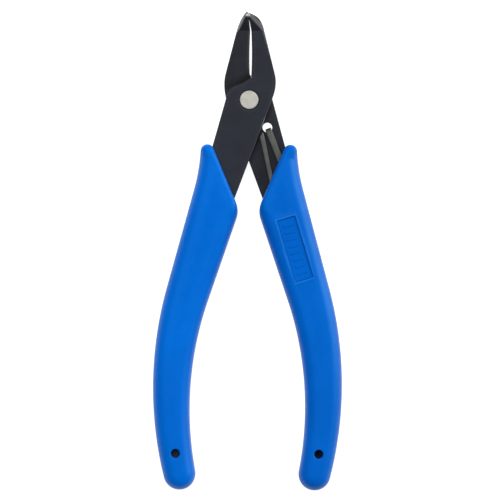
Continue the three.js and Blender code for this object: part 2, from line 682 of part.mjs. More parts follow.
// The origin is under the middle of the tool, on the surface that it lies on.
const bounds = new THREE.Box3().setFromObject(pieces);
const middle = bounds.getCenter(new THREE.Vector3());
pieces.position.set(-middle.x, -middle.y, -bounds.min.z);

const nippers = new THREE.Group();
nippers.add(pieces);

export default nippers;
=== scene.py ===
import math

import bmesh
import bpy
import numpy as np
from mathutils import Euler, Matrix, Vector
from mathutils.geometry import delaunay_2d_cdt


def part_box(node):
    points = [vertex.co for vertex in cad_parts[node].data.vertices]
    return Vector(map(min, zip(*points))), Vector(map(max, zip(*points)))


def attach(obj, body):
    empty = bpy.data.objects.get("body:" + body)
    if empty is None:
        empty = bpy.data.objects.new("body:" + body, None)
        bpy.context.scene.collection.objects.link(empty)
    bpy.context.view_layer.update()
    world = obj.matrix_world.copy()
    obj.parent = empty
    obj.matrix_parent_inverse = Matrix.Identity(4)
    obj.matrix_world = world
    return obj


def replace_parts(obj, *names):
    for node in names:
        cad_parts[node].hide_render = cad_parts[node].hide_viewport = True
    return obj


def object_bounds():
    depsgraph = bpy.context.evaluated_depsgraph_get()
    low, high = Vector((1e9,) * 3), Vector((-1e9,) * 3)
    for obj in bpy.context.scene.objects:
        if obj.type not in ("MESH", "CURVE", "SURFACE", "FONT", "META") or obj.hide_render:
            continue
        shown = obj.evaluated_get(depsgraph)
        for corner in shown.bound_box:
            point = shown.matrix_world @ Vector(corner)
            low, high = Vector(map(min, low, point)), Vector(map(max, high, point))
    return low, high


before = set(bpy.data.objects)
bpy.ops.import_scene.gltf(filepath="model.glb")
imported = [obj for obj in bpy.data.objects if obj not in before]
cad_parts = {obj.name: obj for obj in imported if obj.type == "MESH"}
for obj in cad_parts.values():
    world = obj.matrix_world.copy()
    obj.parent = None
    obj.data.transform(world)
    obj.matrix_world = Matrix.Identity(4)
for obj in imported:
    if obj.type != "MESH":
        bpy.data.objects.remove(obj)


def plain_box():
    return [[float(v) for v in corner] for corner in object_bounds()]


CAD_BOX = plain_box()

# Sprue nippers: lapped steel halves, a rivet, a flat hairpin spring and two moulded grips.
# Every size below is in millimetres from the pivot axis and the lap plane, and
# the pivot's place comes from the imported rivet.

# ---- sizes

SHEET = 2.0
LAP = 0.1
FRONT_LAYER = LAP / 2
REAR_LAYER = -LAP / 2 - SHEET
FRONT_FACE = FRONT_LAYER + SHEET
REAR_FACE = REAR_LAYER + SHEET

HUB_HALF_WIDTH = 6.25
HUB_TOP = 5.9
HUB_CORNER = (5.9, 2.6)
HUB_SHOULDER = (3.8, 3.45)
HUB_DIP = (1.66, 4.34)
NOTCH_Y = 0.4

BEND_Y = 18.4
TIP_REACH = 4.9
POINT_Y = BEND_Y + TIP_REACH
TIP_SLOPE = math.radians(42)
BEND_INSIDE = 0.6
BEND_CENTRE = BEND_Y - BEND_INSIDE * math.tan(TIP_SLOPE / 2)
TIP_FLAT = 0.55
# Half width and fade of the painted highlight on the flat on top of the points.
FLAT_GLINT_HALF = 0.5
FLAT_FADE = 0.2
TIP_END = math.radians(66)
JAW_OFFSET = 0.25
JAW_SHOULDER = 3.65
JAW_ROOT = (6.58, 6.8)
JAW_BULGE = (7.3, 3.9)

GAP_X = 0.33
GAP_FLOOR = 6.4
GAP_ROOT = 0.45
GAP_BOW = 0.96
GAP_AT_BEND = 0.3
EDGE_GAP = 0.02
EDGE_Y = 21.3
POINT_X = -0.5
TIP_NOTCH = 0.12
TIP_BOW = {1: (3.25, 3.8), -1: (-2.5, 3.2)}
TIP_POINT = {1: (-0.04, TIP_REACH - 0.4), -1: (-0.75, TIP_REACH)}
CROTCH = {1: [(0.57, HUB_TOP), (0.475, 6.38)], -1: [(0.55, HUB_TOP - 0.3), (0.45, GAP_FLOOR - 0.05)]}
GRIND_FROM = {1: (3.33, 0.05), -1: (-2.6, 0.4)}
GRIND_TO = {1: (-0.15, TIP_REACH - 1.3), -1: (-1.0, TIP_REACH - 1.3)}
GRIND_REACH = {1: 1.9, -1: 1.3}
GRIND_RUNOUT = 0.6
GRIND_FADE = 3.0
GRIND_LOW = BEND_Y - 2
GRIND_SHADE = 0.9
THIN_EDGE = 0.12
FLANK_BEVEL = {1: 0.5, -1: 0.2}
FLANK_BEVEL_END = 9.0
FLANK_BEVEL_TOP = BEND_Y + 0.6
FLANK_BEVEL_SLOPE = 0.9
FLANK_SHADE = 0.12
FLANK_WORN = 0.6
GAP_BEVEL = 0.42
GAP_BEVEL_SLOPE = 0.8
GAP_BEVEL_FROM = 7.2
GAP_BEVEL_GROWS = 2
GAP_BEVEL_FADES = 3

JOGGLE_ANGLE = math.radians(21.4)
JOGGLE_FOOT = 5.3
JOGGLE_RUN = 1.5
JOGGLE_EASE = 0.2
# Strength of the painted light on the rear half's ramp.
RAMP_PAINTED_LIGHT = 0.35
REAR_JAW_FROM = 7.5
STEEL_EDGE = 0.14
FACE_BAND = 0.25

RIVET_HEAD = 2.44
RIVET_SHANK = 1.8
RIVET_SINK = 0.9
RIVET_RIM = 0.2
RIVET_PROUD = 0.15
RIVET_CLEARANCE = 0.12
RIVET_ROLL = 0.13
RIVET_CROWN = 0.25
RIVET_RINGS = (0.25, 0.5, 0.7, 0.85, 0.95, 1)
RIVET_BORE_ROLL = 0.16
BORE_CHAMFER = 0.3

ARM_CROSSING = 16.2
ARM_INNER_ANGLE = math.radians(20.4)
ARM_INNER_END = 9.8
ARM_INNER_JOIN = 22
ARM_OUTER_JOIN = 8
# The painted highlight along the front half's inner edge beside the spring's hole: strength, span,
# width and fade.
EDGE_HIGHLIGHT = 0.55
EDGE_HIGHLIGHT_LOW = -7.2
EDGE_HIGHLIGHT_HIGH = -4.6
EDGE_HIGHLIGHT_WIDTH = 0.14
EDGE_HIGHLIGHT_FADE = 0.4

HANDLE_X = 5.7
HANDLE_Y = 12
HANDLE_START = math.radians(3.5)
HANDLE_SPLAY = math.radians(17)
HANDLE_END = math.radians(-12.5)
HANDLE_TURN = 14
HANDLE_STRAIGHT = 27
HANDLE_SWEEP = 48.5
HANDLE_LENGTH = HANDLE_TURN + HANDLE_STRAIGHT + HANDLE_SWEEP

GRIP_HALF = 4.5
GRIP_WIDE = 14.1
GRIP_NARROW = 8.5
GRIP_ROUND = 3.3
GRIP_LIP = 1.2
GRIP_ROOM_SHARE = 0.36
ROOM_FROM = 0.2
GRIP_CURVE_SHARE = 0.8
GRIP_ROUND_LEAST = 0.7
GRIP_ROUND_BLEND = 1.6
GRIP_WALL = 1.9
GRIP_FIT = 0.25
MOUTH_ANGLE = math.radians(23)
MOUTH_X = 7.6
MOUTH_Y = 17.2
MOUTH_TIP = 2.2
MOUTH_CORNER = 2.4
MOUTH_BAND = 0.35
MOUTH_BLEND = 1.2
SIGHT_HOLE = 1.17
SIGHT_HOLE_ROLL = 0.3
SIGHT_HOLE_FROM_END = 5.6
TANG_SHORT = 1.2

PANEL_LENGTH = 17.1
PANEL_WIDTH = 5.05
PANEL_DEPTH = 0.3
PANEL_ALONG = 28.5
PANEL_RAMP = 0.14
BEAD_WIDTH = 0.5
BEAD_HEIGHT = 0.07
CREASE = 0.5
BAR_COUNT = 8
BAR_MARGIN = 1.1
BAR_LENGTH = 2.9
BAR_WIDTH = 0.75
BAR_HEIGHT = 0.12
BAR_RAMP = 0.12

SPRING_SHEET = 1.0
FIXED_LEG = 1.55
FREE_LEG = 1.15
FIXED_ANGLE = math.radians(21.8)
FREE_ANGLE = math.radians(12.7)
SPRING_HOLE = 1.3
SPRING_HOLE_AT = (4.9, -7.24)
SPRING_HOLE_ROLL = 0.04
TAB_THICKNESS = 0.65
TAB_FIT = 0.15
TAB_CORNER = math.radians(30)
TAB_EDGE = 0.1
LOOP_RADIUS = 2.6
TIP_UP_ARM = 7.4
TIP_TOUCH = 0.35
FREE_END_PAST = 0.84
FREE_END_WIDTH = 0.35
FREE_END_SLANT = math.radians(38)
SPRING_SPLIT = 0.3
FREE_LEG_SWING = math.radians(6)
SPRING_EDGE = 0.12
SPRING_BEND = 0.42
SPRING_BEND_BAND = 0.02
# Reach and fade of the painted shade at the hooked leg's end.
END_DARK = 0.3
END_FADE = 0.25

# Spacing of mesh points along outlines, over faces and in rows beside what bends or steps.
STEEL_STEP = 0.45
STEEL_GRID = 0.9
SPRING_STEP = 0.3
SPRING_GRID = 0.6
TAB_STEP = 0.16
TAB_GRID = 0.2
HANDLE_STEP = 1.2
GRIP_SIDE_STEP = 0.9
GRIP_STEP = 0.6
GRIP_GRID = 1.6
PANEL_STEP = 0.3
BAR_STEP = 0.25
TIP_HALF = 5
TIP_STEP = 0.2
BEND_STEP = 0.25
FLANK_STEP = 0.4
FLANK_INSETS = (0.25, 0.5, 0.75)
GAP_INSETS = (0.37, 0.54, 0.68)
JOGGLE_ROWS = (-0.2, 3.6, 0.24)
JOGGLE_PLACES = (-9, 4, 0.35)
GRID_SHARE = 0.45
EDGE_SHARE = 0.45
MITRE_LIMIT = 1.5
SEARCH_STEP = 0.01
ROW_MARGIN = 0.1
SAME_POINT = 1e-4
MERGE_WITHIN = 1e-7
TINY = 1e-9
SMOOTH_ANGLE = math.radians(35)

MM = 0.001
SQUARE = ((-1, -1), (1, -1), (1, 1), (-1, 1))


def pivot_place():
    """The pivot axis on the lap plane, in the row frame, in millimetres."""
    low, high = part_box("pivot_rivet")
    return np.array((low + high) / 2) / MM


PIVOT = pivot_place()

# ---- plan geometry


def quadratic(a, b, c, steps):
    t = np.linspace(0, 1, steps + 1)[:, None]
    a, b, c = (np.asarray(p, float) for p in (a, b, c))
    return (1 - t) ** 2 * a + 2 * t * (1 - t) * b + t * t * c


def arc(centre, radius, start, end, steps):
    turn = np.linspace(start, end, steps + 1)
    return np.stack([centre[0] + radius * np.cos(turn), centre[1] + radius * np.sin(turn)], 1)


def over_at(angle):
    """A step to the right, turned anticlockwise by an angle."""
    return np.array([math.cos(angle), math.sin(angle)])


def down_at(angle):
    """A step downwards, turned anticlockwise by an angle."""
    return np.array([math.sin(angle), -math.cos(angle)])


def cross(a, b):
    """Twice the signed area of the triangle between plan vectors."""
    return a[..., 0] * b[..., 1] - a[..., 1] * b[..., 0]


def circle(centre, radius, facets):
    return arc(centre, radius, 0, 2 * math.pi, facets)[:-1]


def run(start, length, turn, along):
    """A point and heading a length along a turn or a straight."""
    x, y, angle = start
    if turn == 0:
        return x + along * math.sin(angle), y + along * math.cos(angle), angle
    to = angle + turn * along / length
    radius = length / turn
    over, up = math.cos(angle) - math.cos(to), math.sin(to) - math.sin(angle)
    return x + radius * over, y + radius * up, to


def handle_point(along):
    """The right handle's centre line, with y counted away from the jaws."""
    place = (HANDLE_X, HANDLE_Y, HANDLE_START)
    for length, turn in ((HANDLE_TURN, HANDLE_SPLAY - HANDLE_START), (HANDLE_STRAIGHT, 0)):
        if along <= length:
            return run(place, length, turn, along)
        place = run(place, length, turn, length)
        along -= length
    return run(place, HANDLE_SWEEP, HANDLE_END - HANDLE_SPLAY, along)


def half_width(along):
    return (GRIP_WIDE + (GRIP_NARROW - GRIP_WIDE) * along / HANDLE_LENGTH) / 2


def handle_edge(along, offset):
    x, y, angle = handle_point(along)
    return np.array([x, -y]) + offset * over_at(angle)


def handle_loop(outer_from, inner_from, end, inset, step=HANDLE_STEP):
    """Points down the handle's outer side, round its end and back up its inner side."""

    def side(start, sign):
        places = np.linspace(start, end, max(2, int((end - start) / step)))
        return [handle_edge(s, sign * (half_width(s) - inset)) for s in places]

    x, y, angle = handle_point(end)
    radius = half_width(end) - inset
    cap = arc((x, -y), radius, angle, angle - math.pi, steps=20)[1:-1]
    return np.vstack([side(outer_from, 1), cap, side(inner_from, -1)[::-1]])


def arm_inner_x(below):
    return (below - ARM_CROSSING) * math.tan(ARM_INNER_ANGLE)


def parting_x(y):
    return GAP_X + (POINT_X - GAP_X) * np.maximum(0, (y - BEND_Y) / TIP_REACH)


def half_outline(side):
    """One steel half in plan. side is 1 for the half with the right jaw."""

    def jaw(half):
        return side * half + JAW_OFFSET

    def gap_edge(y, width):
        return parting_x(y) + side * width / 2

    def at_bend(point):
        return point[0], BEND_Y + point[1]

    halfway = (GAP_FLOOR + BEND_Y) / 2
    point = at_bend(TIP_POINT[side])
    floor = (gap_edge(GAP_FLOOR, GAP_ROOT), GAP_FLOOR + GAP_ROOT)
    bowed = (gap_edge(halfway, GAP_BOW), halfway)
    gap = quadratic(floor, bowed, (gap_edge(BEND_Y, GAP_AT_BEND), BEND_Y), steps=30)
    edge = [(gap_edge(y, EDGE_GAP), y) for y in (EDGE_Y, point[1] - TIP_NOTCH)]
    bow = quadratic(point, at_bend(TIP_BOW[side]), (jaw(JAW_SHOULDER), BEND_Y), steps=24)
    root, belly = ((jaw(x), y) for x, y in (JAW_ROOT, JAW_BULGE))
    bulge = quadratic(root, belly, (-side * arm_inner_x(-NOTCH_Y), NOTCH_Y), steps=16)
    inner_end = ARM_CROSSING + ARM_INNER_END
    arm = [(-side * arm_inner_x(inner_end), -inner_end)]
    tang = handle_loop(ARM_OUTER_JOIN, ARM_INNER_JOIN, HANDLE_LENGTH - TANG_SHORT, GRIP_WALL)
    tang = tang[::-1] * (-side, 1)
    hub = [(-side * x, y) for x, y in ((HUB_HALF_WIDTH, 0), HUB_CORNER, HUB_SHOULDER, HUB_DIP)]
    corner = quadratic(*hub[:3], steps=14)
    return np.vstack([CROTCH[side], gap, edge, bow, bulge, arm, tang, corner, hub[3:]])


# ---- steel levels


def eased(t):
    t = np.clip(t, 0, 1)
    return t * t * (3 - 2 * t)


def bent(y, flat, radius):
    """A face that lies at a level and turns up at the bend, round a centre in front of it."""
    reach = radius * math.sin(TIP_SLOPE)
    within = np.clip(y - BEND_CENTRE, 0, reach)
    curved = flat + radius - np.sqrt(radius**2 - within**2)
    return curved + np.maximum(0, y - (BEND_CENTRE + reach)) * math.tan(TIP_SLOPE)


def tip_back(y):
    return bent(y, FRONT_LAYER, BEND_INSIDE + SHEET)


def point_flat():
    """Where the flat on top of the points ends, its height, and the height of the end below it."""
    slope, fall = math.tan(TIP_SLOPE), math.tan(TIP_END)
    end = float(tip_back(np.array(POINT_Y)))
    level = FRONT_FACE - BEND_Y * slope
    flat_end = (POINT_Y * fall + end - level + TIP_FLAT * slope) / (fall + slope)
    return flat_end, level + (flat_end - TIP_FLAT) * slope, end


def tip_front(y):
    """The front of the bent sheet, with the flat on top of the points and the steep end."""
    _, top, end = point_flat()
    rising = bent(y, FRONT_FACE, BEND_INSIDE)
    return np.minimum(np.minimum(rising, top), end + (POINT_Y - y) * math.tan(TIP_END))


def ground_level(side, x, y):
    """Height of the ground flank's plane, which rises away where the grinding runs out."""
    slope = math.tan(TIP_SLOPE)
    ends = (GRIND_FROM[side], GRIND_TO[side])
    start, end = (np.array([at, BEND_Y + up, FRONT_FACE + up * slope]) for at, up in ends)
    normal = np.cross(end - start, (side * GRIND_REACH[side], 0, -SHEET / math.cos(TIP_SLOPE)))
    plane = start[2] - (normal[0] * (x - start[0]) + normal[1] * (y - start[1])) / normal[2]
    short = -(side * GRIND_RUNOUT * (x - start[0]) + (y - start[1]))
    return plane + GRIND_FADE * np.maximum(0, short)


def jaw_side(y):
    """How far a jaw's straight outer edge is from the jaws' middle."""
    share = (BEND_Y - y) / (BEND_Y - JAW_ROOT[1])
    return JAW_SHOULDER + (JAW_ROOT[0] - JAW_SHOULDER) * share


def flank_bevel(side, x, y):
    """The narrow bevel that carries on down a jaw's straight outer edge."""
    inside = jaw_side(y) - side * (x - JAW_OFFSET)
    left = np.clip((y - FLANK_BEVEL_END) / (BEND_Y - FLANK_BEVEL_END), 0, 1)
    return FRONT_FACE - FLANK_BEVEL_SLOPE * (FLANK_BEVEL[side] * left - inside)


def gap_bevel(side, x, y):
    """The bevel along the gap."""
    share = np.clip((y - GAP_FLOOR) / (BEND_Y - GAP_FLOOR), 0, 1)
    width = GAP_ROOT + (GAP_AT_BEND - GAP_ROOT) * share + (GAP_BOW - GAP_ROOT) * 2 * share * (1 - share)
    inside = side * (x - parting_x(y)) - width / 2
    grown = eased((y - GAP_BEVEL_FROM) / GAP_BEVEL_GROWS)
    wide = GAP_BEVEL * grown * eased((POINT_Y - y) / GAP_BEVEL_FADES)
    return np.where(y > GAP_FLOOR, tip_front(y) - GAP_BEVEL_SLOPE * (wide - inside), FRONT_FACE)


def jaw_front(side, x, y):
    """A jaw's front face with its grinding, never thinner than the ground edge."""
    level = tip_front(y)
    level = np.where(y > GRIND_LOW, np.minimum(level, ground_level(side, x, y)), level)
    beside = (y > FLANK_BEVEL_END) & (y < FLANK_BEVEL_TOP) & (side * (x - JAW_OFFSET) > 0)
    level = np.where(beside, np.minimum(level, flank_bevel(side, x, y)), level)
    gap = gap_bevel(side, x, y)
    level = np.where(y > GAP_BEVEL_FROM, np.minimum(level, gap), level)
    return np.maximum(level, tip_back(y) + THIN_EDGE)


def ground_share(side, x, y):
    """1 where the front face is ground bare and 0 where it keeps its black finish."""
    flank = (tip_front(y) - ground_level(side, x, y)) / GRIND_SHADE
    edge = (tip_front(y) - flank_bevel(side, x, y)) / FLANK_SHADE * FLANK_WORN
    edge = np.where((y > FLANK_BEVEL_END) & (y < FLANK_BEVEL_TOP), edge, 0)
    return np.maximum(np.where(y > GRIND_LOW, np.clip(flank, 0, 1), 0), np.clip(edge, 0, FLANK_WORN))


def flat_glint_share(x, y):
    """1 on the middle of the flat on top of the points. The flat is ground bare, and its near-white
    colour there is a painted highlight for the glint of light on it.
    """
    flat_end = point_flat()[0]
    along = np.minimum(y - (flat_end - TIP_FLAT), flat_end - y)
    beside = FLAT_GLINT_HALF - np.abs(x - POINT_X)
    return np.clip(np.minimum(along, beside) / FLAT_FADE + 0.5, 0, 1)


def hole_edge_highlight(x, y):
    """How strong the painted highlight is on the front half's inner edge beside the hole in the rear
    arm, where light through the hole catches the edge.
    """
    aside = np.abs(x + arm_inner_x(-y))
    within = np.minimum(y - EDGE_HIGHLIGHT_LOW, EDGE_HIGHLIGHT_HIGH - y)
    return EDGE_HIGHLIGHT * np.clip(1 - aside / EDGE_HIGHLIGHT_WIDTH, 0, 1) * np.clip(within / EDGE_HIGHLIGHT_FADE, 0, 1)


def joggled(x, y, low, high, shift):
    along = -math.sin(JOGGLE_ANGLE) * x + math.cos(JOGGLE_ANGLE) * y
    start = JOGGLE_FOOT - JOGGLE_EASE + shift
    return low + (high - low) * eased((along - start) / (JOGGLE_RUN + 2 * JOGGLE_EASE))


def ramp_light_share(side, x, y):
    """How much painted light lifts the rear half's front along its ramp, a slope that faces away from
    the lamps.
    """
    risen = joggled(x, y, 0.0, 1.0, 0)
    return RAMP_PAINTED_LIGHT * 4 * risen * (1 - risen) if side < 0 else 0


def rear_front(x, y):
    lift = joggled(x, y, REAR_FACE, FRONT_FACE, 0)
    return np.where(y > REAR_JAW_FROM, jaw_front(-1, x, y), lift)


def rear_back(x, y):
    shift = SHEET * math.tan(math.atan2(FRONT_LAYER - REAR_LAYER, JOGGLE_RUN) / 2)
    lift = joggled(x, y, REAR_LAYER, FRONT_LAYER, shift)
    return np.where(y > BEND_Y - SHEET, tip_back(y), lift)


def front_front(x, y):
    return np.where(y > HUB_TOP, jaw_front(1, x, y), FRONT_FACE)


def front_back(x, y):
    return tip_back(y)


def level_at(height):
    """A flat face at one height."""
    return lambda x, y: np.full(np.shape(x), height)


# ---- plates


def closer(loop, spacing):
    """The same closed line with no stretch longer than a spacing."""
    points = []
    for a, b in zip(loop, np.roll(loop, -1, 0)):
        pieces = max(1, math.ceil(np.linalg.norm(b - a) / spacing))
        points += [a + (b - a) * i / pieces for i in range(pieces)]
    return np.array(points)


def without_repeats(loop):
    keep = np.linalg.norm(loop - np.roll(loop, 1, 0), axis=1) > SAME_POINT
    return loop[keep]


def anticlockwise(loop):
    return loop if cross(loop, np.roll(loop, -1, 0)).sum() > 0 else loop[::-1]


def even_outline(points, spacing):
    """A closed anticlockwise outline through points, with no stretch longer than a spacing."""
    return anticlockwise(closer(without_repeats(points), spacing))


def inward(loop):
    """Vectors that move an anticlockwise loop's points inwards by one unit of inset."""
    ahead = np.roll(loop, -1, 0) - loop
    ahead /= np.linalg.norm(ahead, axis=1)[:, None]
    behind = np.roll(ahead, 1, 0)
    left = np.stack([-ahead[:, 1] - behind[:, 1], ahead[:, 0] + behind[:, 0]], 1) / 2
    size = np.linalg.norm(left, axis=1)[:, None]
    return left / size * np.minimum(1 / size, MITRE_LIMIT)


def inside(points, loop):
    x, y = points.T
    hit = np.zeros(len(points), bool)
    for (ax, ay), (bx, by) in zip(loop, np.roll(loop, -1, 0)):
        if ay != by:
            crosses = (ay > y) != (by > y)
            hit ^= crosses & (x < ax + (y - ay) * (bx - ax) / (by - ay))
    return hit


def distance(points, loop):
    """Least distance of each point from a closed line."""
    best = np.full(len(points), np.inf)
    for a, b in zip(loop, np.roll(loop, -1, 0)):
        d = b - a
        t = np.clip((points - a) @ d / max(d @ d, TINY**2), 0, 1)
        best = np.minimum(best, np.linalg.norm(points - a - t[:, None] * d, axis=1))
    return best


def lattice(loop, spacing):
    low, high = loop.min(0), loop.max(0)
    rise = spacing * math.sqrt(3) / 2
    rows = []
    for i, y in enumerate(np.arange(low[1], high[1], rise)):
        xs = np.arange(low[0] + (i % 2) * spacing / 2, high[0], spacing)
        rows.append(np.stack([xs, np.full(len(xs), y)], 1))
    return np.vstack(rows)


def clear_of(points, loops, margin):
    """Those points inside the first loop, outside the others and well away from all of them."""
    good = inside(points, loops[0])
    for loop in loops:
        good &= distance(points, loop) > margin
    for hole in loops[1:]:
        good &= ~inside(points, hole)
    return points[good]


def free_points(loops, spacing, rows):
    """The rows' points and an even lattice that keeps its distance from them."""
    near = clear_of(rows, loops, ROW_MARGIN)
    even = clear_of(lattice(loops[0], spacing), loops, spacing / 2)
    if len(near) and len(even):
        gaps = np.linalg.norm(even[:, None] - near[None], axis=2).min(1)
        even = even[gaps > spacing * GRID_SHARE]
    return np.vstack([near, even])


def borders(loops):
    """Each loop's edges as pairs of point numbers."""
    pairs, start = [], 0
    for loop in loops:
        n = len(loop)
        pairs += [(start + i, start + (i + 1) % n) for i in range(n)]
        start += n
    return pairs


def patches(triangles, fixed):
    """Numbers of the triangles in each patch that the fixed edges close off."""
    beside = {}
    for i, corners in enumerate(triangles.tolist()):
        for a, b in zip(corners, corners[1:] + corners[:1]):
            if frozenset((a, b)) not in fixed:
                beside.setdefault(frozenset((a, b)), []).append(i)
    neighbours = [[] for _ in triangles]
    for pair in beside.values():
        if len(pair) == 2:
            neighbours[pair[0]].append(pair[1])
            neighbours[pair[1]].append(pair[0])
    left = set(range(len(triangles)))
    while left:
        patch, waiting = [], [left.pop()]
        while waiting:
            patch.append(waiting.pop())
            fresh = left.intersection(neighbours[patch[-1]])
            left -= fresh
            waiting += fresh
        yield patch


def on_plate(triangles, points, loops):
    """The triangles of the largest patch that lies inside the first loop and outside the others."""
    a, b, c = (points[triangles[:, i]] for i in range(3))
    size = np.abs(cross(b - a, c - a))
    fixed = {frozenset(pair) for pair in borders(loops)}
    best, most = [], 0
    for patch in patches(triangles, fixed):
        largest = max(patch, key=lambda i: size[i])
        middle = points[triangles[largest]].mean(0)
        if size[patch].sum() > most and len(clear_of(middle[None], loops, 0)):
            best, most = patch, size[patch].sum()
    return triangles[best]


def fill(loops, spacing, rows):
    """Points inside the first loop and outside the others, the loops' own first, and triangles."""
    every = np.vstack([*loops, free_points(loops, spacing, rows)])
    found = delaunay_2d_cdt([Vector(p) for p in every], borders(loops), [], 0, MERGE_WITHIN, True)
    names = [ids[0] if ids else -1 for ids in found[3]]
    triangles = np.array([[names[v] for v in face] for face in found[2]])
    triangles = triangles[(triangles >= 0).all(1)]
    return every, on_plate(triangles, every, loops)


class Skin:
    """Vertices, faces and edge weights of one closed mesh while it is made."""

    def __init__(self):
        self.points, self.faces, self.edge = [], [], []

    def add(self, points, edge=0.0):
        first = len(self.points)
        self.points += [tuple(p) for p in points]
        self.edge += [edge] * len(points)
        return list(range(first, len(self.points)))

    def join(self, rows):
        """Faces between each closed row of points and the next."""
        for a, b in zip(rows, rows[1:]):
            n = len(a)
            self.faces += [(a[i], a[(i + 1) % n], b[(i + 1) % n], b[i]) for i in range(n)]


def raised(points, level):
    return np.column_stack([points, np.broadcast_to(level, len(points))])


def rim(skin, loop, radius, front, back, steps, levels):
    """Rows of points round an edge, from the front face's border to the back face's."""
    move = inward(loop)
    turns = np.linspace(math.pi / 2, 0, steps + 1)

    def row(turn, face, sign):
        points = loop + move * (radius * (1 - math.cos(turn)))[:, None]
        level = face(*points.T) - sign * radius * (1 - math.sin(turn))
        return skin.add(raised(points, level), math.sin(2 * turn))

    rows = [row(turn, front, 1) for turn in turns]
    top, low = front(*loop.T) - radius, back(*loop.T) + radius
    for share in np.linspace(0, 1, levels + 1)[1:-1]:
        rows.append(skin.add(raised(loop, top + (low - top) * share)))
    rows += [row(turn, back, -1) for turn in turns[::-1]]
    skin.join(rows)
    return loop + move * radius[:, None], rows[0], rows[-1]


def bore(skin, centre, chain, facets=64):
    """Rows of points down a round hole. chain is (radius, level) from front to back."""
    rows = []
    for radius, level in chain:
        rows.append(skin.add(raised(circle(centre, radius, facets), level)))
    skin.join(rows)
    return circle(centre, chain[0][0], facets), rows[0], rows[-1]


def plate(outline, radius, front, back, bores=(), rows=(), spacing=STEEL_GRID, steps=3, levels=2):
    """A closed plate with rounded edges between two faces given as heights over its plan."""
    skin = Skin()
    radius = np.minimum(radius, (front(*outline.T) - back(*outline.T)) * EDGE_SHARE)
    inset, tops, lows = rim(skin, outline, radius, front, back, steps, levels)
    loops = [inset]
    for centre, chain in bores:
        hole, first, last = bore(skin, centre, chain)
        loops.append(hole)
        tops, lows = tops + first, lows + last
    rows = np.asarray(rows, float).reshape(-1, 2)
    every, triangles = fill(loops, spacing, rows)
    free = every[len(tops):]
    for face, known in ((front, tops), (back, lows)):
        new = skin.add(raised(free, face(*free.T))) if len(free) else []
        names = np.array(known + new)
        skin.faces += [tuple(names[t]) for t in triangles]
    return skin


def added(name, data):
    obj = bpy.data.objects.new(name, data)
    bpy.context.scene.collection.objects.link(obj)
    return obj


def mesh_object(name, skin, body):
    """A closed, outward-facing object from a skin, placed in the row frame on its body."""
    mesh = bpy.data.meshes.new(name)
    points = (np.array(skin.points) + PIVOT) * MM
    mesh.from_pydata(points.tolist(), [], [tuple(int(v) for v in f) for f in skin.faces])
    weight = mesh.attributes.new("edge", "FLOAT", "POINT")
    weight.data.foreach_set("value", np.array(skin.edge, np.float32))
    bm = bmesh.new()
    bm.from_mesh(mesh)
    bmesh.ops.recalc_face_normals(bm, faces=bm.faces)
    bm.to_mesh(mesh)
    bm.free()
    obj = added(name, mesh)
    finish_shading(obj)
    if body:
        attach(obj, body)
    return obj


def finish_shading(obj):
    obj.data.shade_smooth()
    obj.data.set_sharp_from_angle(angle=SMOOTH_ANGLE)


def mark(obj, name, value):
    """Stores a number for each point, worked out from its place in the pivot's own frame."""
    points = np.array([v.co for v in obj.data.vertices]) / MM - PIVOT
    data = obj.data.attributes.new(name, "FLOAT", "POINT")
    data.data.foreach_set("value", np.broadcast_to(value(*points.T), len(points)).astype(np.float32))


def nowhere(x, y, z):
    """A mark that is nought at every point."""
    return 0


# ---- steel halves


def across(y, spacing):
    xs = np.arange(-TIP_HALF, TIP_HALF, spacing)
    return np.stack([xs, np.full(len(xs), y)], 1)


def tip_rows():
    """Closely set points along the lines where the bent points change direction."""
    bend = np.linspace(BEND_CENTRE, BEND_CENTRE + BEND_INSIDE * math.sin(TIP_SLOPE), 4)
    slope = np.arange(BEND_Y + 2 * TIP_STEP, POINT_Y, TIP_STEP)
    rows = [across(y, BEND_STEP) for y in bend] + [across(y, TIP_STEP) for y in slope]
    return np.vstack(rows)


def flank_rows(side):
    """Closely set points beside a jaw's straight edge and beside the gap."""
    ys = np.arange(HUB_TOP + 1.5 * FLANK_STEP, BEND_Y - FLANK_STEP, FLANK_STEP)
    rows = [np.stack([side * (jaw_side(ys) - d) + JAW_OFFSET, ys], 1) for d in FLANK_INSETS]
    rows += [np.stack([GAP_X + side * (GAP_AT_BEND / 2 + d) + 0 * ys, ys], 1) for d in GAP_INSETS]
    return np.vstack(rows)


def joggle_rows():
    along, up = over_at(JOGGLE_ANGLE), -down_at(JOGGLE_ANGLE)
    heights = JOGGLE_FOOT - JOGGLE_EASE + np.arange(*JOGGLE_ROWS)
    return np.array([along * s + up * t for t in heights for s in np.arange(*JOGGLE_PLACES)])


def rivet_bore(face, up):
    """A hole for the rivet, from front to back. It is countersunk from a face that looks up or down."""
    head, shank = RIVET_HEAD + RIVET_CLEARANCE, RIVET_SHANK + RIVET_CLEARANCE
    roll = RIVET_BORE_ROLL
    outside = [
        (head + roll, 0),
        (head + roll * BORE_CHAMFER, -roll * BORE_CHAMFER),
        (head, -roll),
        (head, -RIVET_RIM),
        (shank, -RIVET_SINK),
        (shank, -SHEET),
        (head + roll, -SHEET),
    ]
    return [(r, face + up * z) for r, z in outside][::up]


def spring_bore():
    rolled = ((1, 0), (BORE_CHAMFER, BORE_CHAMFER), (0, 1))
    half = [(SPRING_HOLE + SPRING_HOLE_ROLL * a, REAR_FACE - SPRING_HOLE_ROLL * b) for a, b in rolled]
    return half + [(r, REAR_FACE + REAR_LAYER - z) for r, z in half[::-1]]


